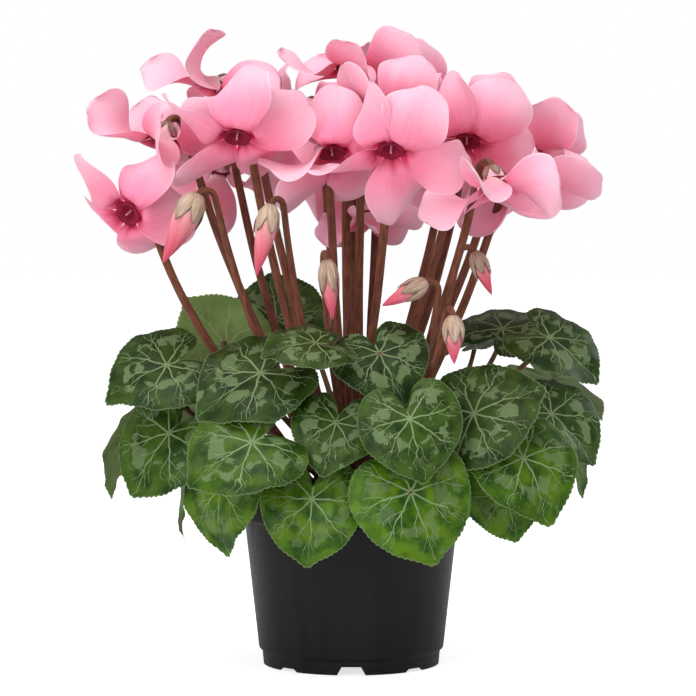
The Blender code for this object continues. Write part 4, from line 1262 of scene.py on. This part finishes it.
# %% Tube and throat
TUBE_PROFILE = ((0.0, 2.1), (0.7, 3.2), (2.0, 4.3), (4.5, 5.0), (6.5, 5.4), (8.2, 6.0), (9.2, 6.7),
                (9.5, 6.0), (9.0, 4.4), (7.0, 3.5), (5.0, 2.6), (4.2, 1.2))
THROAT_START = 4
STYLE_HEIGHTS = (5.0, 6.5, 8.0, 9.3, 10.4)
STYLE_RADII = (0.5, 0.45, 0.4, 0.36, 0.45)
TUBE_SIDES = 40
SEPAL_ROWS = 9
SEPAL_COLUMNS = 7


def ring_round(head, axis, right, front, height, radius, turn):
    spokes = np.cos(turn)[:, None] * right + np.sin(turn)[:, None] * front
    radius = np.broadcast_to(radius, turn.shape)
    return head + axis * height + radius[:, None] * spokes


def add_tube_and_throat(skin, flower, field):
    head, axis, spin = flower[:3]
    right, front = flower_frame(axis)
    turn = np.arange(TUBE_SIDES) * 2 * math.pi / TUBE_SIDES
    lobes = np.cos(5 * (turn - math.radians(spin)))
    rings = [ring_round(head, axis, right, front, h, r * (1 + 0.05 * lobes), turn)
             for h, r in TUBE_PROFILE]
    places = [np.stack((np.full(TUBE_SIDES, 0.04 * row), np.cos(turn) * 0.5, np.sin(turn)), axis=1)
              for row in range(len(rings))]
    rings = bent(np.array(rings), field)
    ids = skin.add(rings, np.array(places))
    skin.quads(ids[:THROAT_START + 1], BACK, wrap=True)
    skin.quads(ids[THROAT_START:], THROAT, wrap=True)
    skin.fan(ids[-1], rings[-1].mean(axis=0), THROAT)
    skin.fan(ids[0], rings[0].mean(axis=0), BACK)


print("tube points", len(TUBE_PROFILE) * TUBE_SIDES)

# %% Sepals and style
def add_sepals(skin, head, axis, spin, reach, radius_at, width, flare, finish, field, chance):
    """Five pointed sepals that lie over whatever radius_at gives."""
    right, front = flower_frame(axis)
    u = np.linspace(0, 1, SEPAL_ROWS)[:, None]
    v = np.linspace(-1, 1, SEPAL_COLUMNS)[None]
    for k in range(PETALS):
        long = reach * chance.uniform(0.88, 1.08)
        height = -0.6 + u * long
        half = width * np.sin(math.pi * (0.22 + 0.78 * u)) ** 0.9 + 0.15
        tip_out = flare * chance.uniform(0.4, 1.3) * u ** 3
        radius = radius_at(height) + 0.25 + tip_out + 0.25 * (1 - v ** 2) * np.sin(math.pi * u)
        around = math.radians(spin + 36 + 72 * k) + v * half / np.maximum(radius, 1.5)
        spokes = np.cos(around)[..., None] * right + np.sin(around)[..., None] * front
        grid = head + axis * (height + 0 * v)[..., None] + radius[..., None] * spokes
        grid = bent(grid, field)
        own_seed = np.full(grid.shape[:2], chance.uniform(0, 9))
        places = np.stack((u + 0 * v, v + 0 * u, own_seed), axis=-1)
        thick = 0.45 * (1 - 0.8 * np.abs(v) ** 4) * (1 - 0.6 * u)
        add_sheet(skin, grid, thick, places, finish, finish)


def add_style(skin, head, axis, field):
    path = np.array([head + axis * h for h in STYLE_HEIGHTS])
    add_tube(skin, path, np.array(STYLE_RADII), flower_frame(axis)[0], 8, FRONT, 3.0, field)


def tube_radius_at(height):
    heights, radii = np.array(TUBE_PROFILE[:6]).T
    return np.interp(height, heights, radii)


print("sepal points", SEPAL_ROWS * SEPAL_COLUMNS)

# %% Grow the flowers
def grow_flower(number, flower, spot, field):
    chance = np.random.default_rng(FLOWER_SEED + number)
    head, axis, spin = flower[:3]
    skin = Skin()
    for k in range(PETALS):
        add_petal(skin, flower, k, field, chance)
    add_tube_and_throat(skin, flower, field)
    add_sepals(skin, head, axis, spin, 7.0, tube_radius_at, 2.5, 0.9, CALYX, field, chance)
    add_style(skin, head, axis, field)
    path = hooked_path(head, axis, spot, 34, 12)
    along = np.linspace(0, 1, len(path))
    radii = np.interp(along, (0, 0.12, 0.3, 1), (2.0, 1.85, 2.0, 2.35))
    add_tube(skin, path, radii, flower_frame(axis)[0], 14, STALK, number * 2.3, field, 0.05)
    return make_piece(f"bloom_{number:02d}", skin,
                      (petal_front, petal_back, throat, calyx_skin, stalk_skin),
                      f"flower_{number:02d}")


for number, (flower, spot_of, field) in enumerate(zip(flowers, flower_spots, flower_fields), 1):
    grow_flower(number, flower, spot_of, field)

# %% [markdown]
# ## The buds
# A closed bud is its five petals rolled round each other like an umbrella: a pointed spindle with
# spiral steps. A turned shape whose radius steps round with height shows this without five
# overlapping sheets that would never be seen. Large sepals clasp its upper half.

# %% Grow the buds
BUD_SEED = 300
ROLLED, HUSK, HOOK = range(3)
BUD_ROWS = 40
BUD_SIDES = 40
BUD_SHARES = (0.0, 0.07, 0.26, 0.5, 0.78, 0.93, 1.0)
BUD_RADII = (0.40, 0.80, 1.0, 0.84, 0.46, 0.20, 0.03)


def grow_bud(number, bud, spot, field):
    chance = np.random.default_rng(BUD_SEED + number)
    head, axis, length, girth = bud
    right, front = flower_frame(axis)
    skin = Skin()
    share = np.linspace(0, 1, BUD_ROWS)
    turn = np.arange(BUD_SIDES) * 2 * math.pi / BUD_SIDES
    phase = (5 * turn[None] / (2 * math.pi) + 1.5 * share[:, None]) % 1.0
    step = 0.13 * (smooth(phase / 0.85) - smooth((phase - 0.85) / 0.15)) - 0.06
    radius = girth * np.interp(share, BUD_SHARES, BUD_RADII)[:, None] * (1 + step)
    spokes = np.cos(turn)[:, None] * right + np.sin(turn)[:, None] * front
    body = head + axis * (share * length)[:, None, None] + radius[..., None] * spokes[None]
    body = bent(body, field)
    places = np.stack((share[:, None] + 0 * phase, phase * 1.9 - 0.95,
                       np.full(phase.shape, number * 1.3)), axis=-1)
    ids = skin.add(body, places)
    skin.quads(ids, ROLLED, wrap=True)
    skin.fan(ids[0], body[0].mean(axis=0), ROLLED)
    skin.fan(ids[-1], body[-1].mean(axis=0), ROLLED, (1.0, 0.0, 0.0))

    def radius_at(height):
        return girth * np.interp(height / length, BUD_SHARES, BUD_RADII) * 1.04

    cover = 0.42 if length > 30 else 0.62
    add_sepals(skin, head, axis, 10.0 * number, length * cover, radius_at, girth * 0.72, 0.8, HUSK,
               field, chance)
    path = hooked_path(head, axis, spot, 30, 12)
    radii = np.interp(np.linspace(0, 1, len(path)), (0, 0.15, 1), (1.7, 1.5, 2.0))
    add_tube(skin, path, radii, right, 12, HOOK, number * 1.9, field, 0.05)
    return make_piece(f"closed_bud_{number:02d}", skin, (petal_rolled, bud_sepal, stalk_skin),
                      f"bud_{number:02d}")


for number, (bud, spot_of, field) in enumerate(zip(buds, bud_spots, bud_fields), 1):
    grow_bud(number, bud, spot_of, field)
print("buds", len(buds))

# %% [markdown]
# ## The pot
# A thin black nursery pot is blown or moulded in one piece: a tapering wall, a deep plain rim
# that steps out so that pots stack, and a foot ring cut by notches so that water can leave. It is
# turned from one profile with its corners rounded, then notched with real cuts, so the edges
# catch light. Moulded corners are never sharp, and a knife edge looks false at once.

# %% Pot profile
RIM_BOTTOM = 72.5
RIM_LIP = 1.2
WALL = 1.3
SHOULDER_RADIUS = 53.2
STEP_RADIUS = 46.0
STEP_HEIGHT = 8.0
FOOT_RADIUS = 44.0
FLOOR_BOTTOM = 3.0
FLOOR_TOP = 4.4
POT_SEGMENTS = 192
NOTCHES = 8
NOTCH_HEIGHT = 5.0
NOTCH_SHALLOW = 1.6
NOTCH_HALF_TOP = 4.2
NOTCH_HALF_BOTTOM = 7.5
NOTCH_INNER = 37.0
CORNER_CUT = 0.9
SHARPEST_SMOOTHED = math.radians(38)
print("rim", 2 * RIM_RADIUS, "mm across,", RIM_TOP, "mm up")

# %% Turned shapes
def rounded(profile, cut, steps=4):
    """The same profile with each inner corner replaced by a short curve."""
    points = [np.array(p, float) for p in profile]
    made = [points[0]]
    for before, corner, after in zip(points, points[1:], points[2:]):
        back, ahead = before - corner, after - corner
        trim = min(cut, 0.4 * np.linalg.norm(back), 0.4 * np.linalg.norm(ahead))
        start, end = corner + unit(back) * trim, corner + unit(ahead) * trim
        for t in np.linspace(0, 1, steps):
            made.append(start * (1 - t) ** 2 + 2 * corner * t * (1 - t) + end * t ** 2)
    return made + [points[-1]]


def lathe(skin, profile, segments, finish):
    """Turn a profile about the upright axis; it starts and ends on the axis."""
    turn = np.arange(segments) * 2 * math.pi / segments
    rings = np.array([[(r * math.cos(t), r * math.sin(t), z) for t in turn]
                      for r, z in profile[1:-1]])
    ids = skin.add(rings, rings)
    skin.quads(ids, finish, wrap=True)
    for end in (0, -1):
        middle = (0.0, 0.0, profile[end][1])
        skin.fan(ids[end], middle, finish, middle)
    return ids


print("a rounded corner has", len(rounded([(0, 0), (1, 0), (1, 1)], CORNER_CUT)), "points")

# %% Pot wall
def pot_profile():
    under = FOOT_RADIUS - WALL
    outer = [(0, FLOOR_BOTTOM), (under - 0.4, FLOOR_BOTTOM), (under, 0), (FOOT_RADIUS, 0),
             (FOOT_RADIUS + 0.3, STEP_HEIGHT - 1.2), (STEP_RADIUS, STEP_HEIGHT),
             (SHOULDER_RADIUS, RIM_BOTTOM - 0.5), (RIM_RADIUS - 1.4, RIM_BOTTOM),
             (RIM_RADIUS, RIM_BOTTOM + 1.6), (RIM_RADIUS, RIM_TOP - 1.0),
             (RIM_RADIUS - 0.8, RIM_TOP)]
    inner = [(RIM_RADIUS - RIM_LIP - 0.8, RIM_TOP), (RIM_RADIUS - RIM_LIP - 0.6, RIM_BOTTOM + 2.4),
             (SHOULDER_RADIUS - WALL, RIM_BOTTOM + 1.0), (STEP_RADIUS - WALL, STEP_HEIGHT + 0.6),
             (FOOT_RADIUS - WALL, FLOOR_TOP + 1.6), (FOOT_RADIUS - WALL - 1.2, FLOOR_TOP),
             (0, FLOOR_TOP)]
    return rounded(outer + inner, CORNER_CUT)


print("profile points", len(pot_profile()))

# %% Notches
def notch_cutter(index):
    """A wedge that opens the foot ring and the edge of the floor."""
    height = NOTCH_SHALLOW if index % 2 else NOTCH_HEIGHT
    turn = math.radians(-90.0 + index * 360.0 / NOTCHES)
    wedge = bmesh.new()
    ends = []
    for x in (NOTCH_INNER, FOOT_RADIUS + 6):
        corners = []
        for y, z in ((-NOTCH_HALF_BOTTOM, -1.0), (NOTCH_HALF_BOTTOM, -1.0),
                     (NOTCH_HALF_TOP, height), (-NOTCH_HALF_TOP, height)):
            place = (x * math.cos(turn) - y * math.sin(turn),
                     x * math.sin(turn) + y * math.cos(turn), z)
            corners.append(wedge.verts.new([c * MM for c in place]))
        ends.append(corners)
    near, far = ends
    for i in range(4):
        j = (i + 1) % 4
        wedge.faces.new((near[i], near[j], far[j], far[i]))
    wedge.faces.new(near[::-1])
    wedge.faces.new(far)
    bmesh.ops.recalc_face_normals(wedge, faces=wedge.faces)
    mesh = bpy.data.meshes.new(f"notch_{index}")
    wedge.to_mesh(mesh)
    wedge.free()
    return new_object(f"notch_{index}", mesh)


def cut_notches(pot):
    cutters = [notch_cutter(i) for i in range(NOTCHES)]
    for cutter in cutters:
        cut = pot.modifiers.new(cutter.name, "BOOLEAN")
        cut.operation = "DIFFERENCE"
        cut.solver = "EXACT"
        cut.object = cutter
    bpy.context.view_layer.update()
    settled = pot.evaluated_get(bpy.context.evaluated_depsgraph_get())
    notched = bpy.data.meshes.new_from_object(settled)
    pot.modifiers.clear()
    pot.data = notched
    for cutter in cutters:
        bpy.data.objects.remove(cutter)


print("notches", NOTCHES)

# %% Black plastic
black_plastic, plastic, shader = new_finish("black_plastic")
place = plastic.put("TexCoord", out="Object")
drawn = plastic.noise(plastic.stretched(place, (90.0, 90.0, 6.0)), 1.0, 3.0)
grit = plastic.noise(place, 900.0)
scuffs = plastic.ease(plastic.noise(place, 38.0, 5.0, 0.7), 0.56, 0.72)
tone = plastic.mixed(plastic.ease(drawn, 0.35, 0.65), (0.0042, 0.0039, 0.0043),
                     (0.0072, 0.0066, 0.0072))
plastic.fill(shader, {"Base Color": plastic.mixed(scuffs * 0.25, tone, (0.018, 0.017, 0.017)),
                      "Specular IOR Level": 0.2,
                      "Roughness": plastic.ease(grit + scuffs * 0.3, 0.3, 1.0, 0.40, 0.56),
                      "Normal": plastic.bump(grit * 0.25 + drawn, 0.00012)})
print("finish", black_plastic.name)

# %% Turn the pot
pot_skin = Skin()
lathe(pot_skin, pot_profile(), POT_SEGMENTS, 0)
pot = make_piece("nursery_pot", pot_skin, (black_plastic,), "pot")
cut_notches(pot)
pot.data.polygons.foreach_set("use_smooth", [True] * len(pot.data.polygons))
edges = pot.modifiers.new("shade_corners", "EDGE_SPLIT")
edges.split_angle = SHARPEST_SMOOTHED
print("pot faces", len(pot.data.polygons), "width", round(pot.dimensions.x, 4))

# %% [markdown]
# ## Peat
# The pot is filled with coarse peat, crumbly and nearly black, with fibres and pale specks. The
# surface is a turned shape whose upper face is pushed up and down by layered noise, with loose
# crumbs scattered and half sunk in it. Most of it is under the leaves, but it shows from above.

# %% Peat finish
SOIL_EDGE = 79.0
SOIL_CROWN = 83.0
SOIL_SEGMENTS = 150
CRUMBS = 420
CRUMB_SIDES = 7
PEAT_SEED = 7


def wall_radius(height):
    share = (height - STEP_HEIGHT) / (RIM_BOTTOM - 1.0 - STEP_HEIGHT)
    return STEP_RADIUS + (SHOULDER_RADIUS - STEP_RADIUS) * share


peat, crumbly, shader = new_finish("peat")
place = crumbly.put("TexCoord", out="Object")
lumps = crumbly.noise(place, 260.0, 6.0, 0.7)
fibres = crumbly.noise(crumbly.stretched(place, (1.0, 0.25, 1.0)), 900.0, 3.0)
specks = crumbly.ease(crumbly.noise(place, 1400.0, 1.0), 0.68, 0.74)
tone = crumbly.mixed(crumbly.ease(lumps, 0.35, 0.65), (0.009, 0.006, 0.004), (0.042, 0.026, 0.016))
tone = crumbly.mixed(crumbly.ease(fibres, 0.6, 0.8, 0.0, 0.5), tone, (0.10, 0.062, 0.034))
crumbly.fill(shader, {"Base Color": crumbly.mixed(specks * 0.5, tone, (0.22, 0.19, 0.15)),
                      "Roughness": 0.93, "Normal": crumbly.bump(lumps, 0.0012)})
print("finish", peat.name)

# %% Crumbs and surface
def add_crumb(skin, place, size, chance):
    """A small lump with a random outline, seven points round and four rings high."""
    turn = np.arange(CRUMB_SIDES) * 2 * math.pi / CRUMB_SIDES
    rings = []
    for high, wide in ((-0.6, 0.6), (-0.15, 1.0), (0.3, 0.9), (0.65, 0.45)):
        reach = size * wide * chance.uniform(0.75, 1.25, CRUMB_SIDES)
        rings.append(np.stack((reach * np.cos(turn), reach * np.sin(turn),
                               size * (high + chance.uniform(-0.1, 0.1, CRUMB_SIDES))), axis=1))
    rings = np.array(rings) + place
    ids = skin.add(rings, rings)
    skin.quads(ids, 0, wrap=True)
    for end in (0, -1):
        skin.fan(ids[end], rings[end].mean(axis=0), 0, rings[0, 0])


def peat_height(x, y):
    """The surface, with lumps of two sizes."""
    radius = math.hypot(x, y)
    base = SOIL_CROWN - (SOIL_CROWN - SOIL_EDGE) * min(1.0, max(0.0, (radius - 34.0) / 22.0)) ** 1.3
    coarse = noise.noise(Vector((x, y, 0.0)) * 0.13)
    fine = noise.noise(Vector((x, y, 7.0)) * 0.45)
    return base + 1.4 * coarse + 0.8 * fine


print("height at the middle", round(peat_height(0.0, 0.0), 1), "mm")

# %% Fill the pot
def fill_pot():
    chance = np.random.default_rng(PEAT_SEED)
    skin = Skin()
    top_radius = RIM_RADIUS - WALL - FIT_GAP - 2.4
    below = wall_radius(RIM_BOTTOM - 2) - WALL - FIT_GAP - 0.3
    side = [(0, FLOOR_TOP + FIT_GAP), (FOOT_RADIUS - WALL - FIT_GAP - 1.6, FLOOR_TOP + FIT_GAP),
            (FOOT_RADIUS - WALL - FIT_GAP - 0.3, FLOOR_TOP + 2.4), (below, RIM_BOTTOM - 2),
            (below, RIM_BOTTOM + 3), (top_radius, SOIL_EDGE - 1.5)]
    across_top = [(r, SOIL_EDGE) for r in np.linspace(top_radius - 0.4, 1.0, 56)]
    ids = lathe(skin, side + across_top + [(0, SOIL_CROWN)], SOIL_SEGMENTS, 0)
    sheet = skin.points[0].reshape(-1, 3)
    for i in ids[len(side) - 1:].ravel():
        sheet[i, 2] = peat_height(sheet[i, 0], sheet[i, 1])
    for _ in range(CRUMBS):
        radius = top_radius * math.sqrt(chance.uniform(0.1, 0.93))
        angle = chance.uniform(0, 2 * math.pi)
        x, y = radius * math.cos(angle), radius * math.sin(angle)
        size = chance.uniform(0.5, 1.7)
        add_crumb(skin, np.array((x, y, peat_height(x, y) + size * 0.2)), size, chance)
    return make_piece("peat_fill", skin, (peat,), "potting_soil")


print("peat faces", len(fill_pot().data.polygons))

# %% [markdown]
# ## The tuber
# The tuber is a flattened corky disc, cracked into rough plates, from whose crown every stalk
# rises. Only its top clears the peat. It is a squashed ball whose skin is broken by ridged noise.

# %% Cork finish
TUBER_RINGS = 60
TUBER_SEGMENTS = 110

cork, corky, shader = new_finish("cork")
place = corky.put("TexCoord", out="Object")
plates = corky.put("TexVoronoi", {"Vector": place, "Scale": 160.0}, out="Distance",
                   feature="DISTANCE_TO_EDGE")
cracks = corky.ease(plates, 0.0, 0.12)
mottle = corky.noise(place, 120.0, 4.0, 0.6)
tone = corky.mixed(corky.ease(mottle, 0.35, 0.65), (0.055, 0.030, 0.018), (0.17, 0.105, 0.062))
corky.fill(shader, {"Base Color": corky.mixed(cracks, (0.022, 0.012, 0.008), tone),
                    "Roughness": 0.88, "Normal": corky.bump(cracks + mottle, 0.0009)})
print("finish", cork.name)

# %% Grow the tuber
def grow_tuber():
    skin = Skin()
    profile = [(0, TUBER_MIDDLE - TUBER_DROP)]
    for share in np.linspace(-0.97, 0.97, TUBER_RINGS):
        turn = share * math.pi / 2
        high = TUBER_RISE if share > 0 else TUBER_DROP
        profile.append((TUBER_RADIUS * math.cos(turn), TUBER_MIDDLE + high * math.sin(turn)))
    lathe(skin, profile + [(0, TUBER_MIDDLE + TUBER_RISE)], TUBER_SEGMENTS, 0)
    skin_points = skin.points[0]
    for i, place in enumerate(skin_points):
        rough = noise.turbulence(Vector(place) * 0.16, 3, False) - 0.5
        skin_points[i] = place + (place - (0, 0, TUBER_MIDDLE)) * 0.035 * rough
    return make_piece("corky_tuber", skin, (cork,), "tuber")


print("tuber faces", len(grow_tuber().data.polygons))

# %% [markdown]
# ## Sizes and the end
# The fine pieces are meant to fill the same box as the solids they stand for, so the growth of
# the box over the solids' box is printed.

# %% Finish
new_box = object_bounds()
growth = (new_box[1] - new_box[0]) - (cad_box[1] - cad_box[0])
print("grew by", [round(side / MM, 1) for side in growth], "mm")
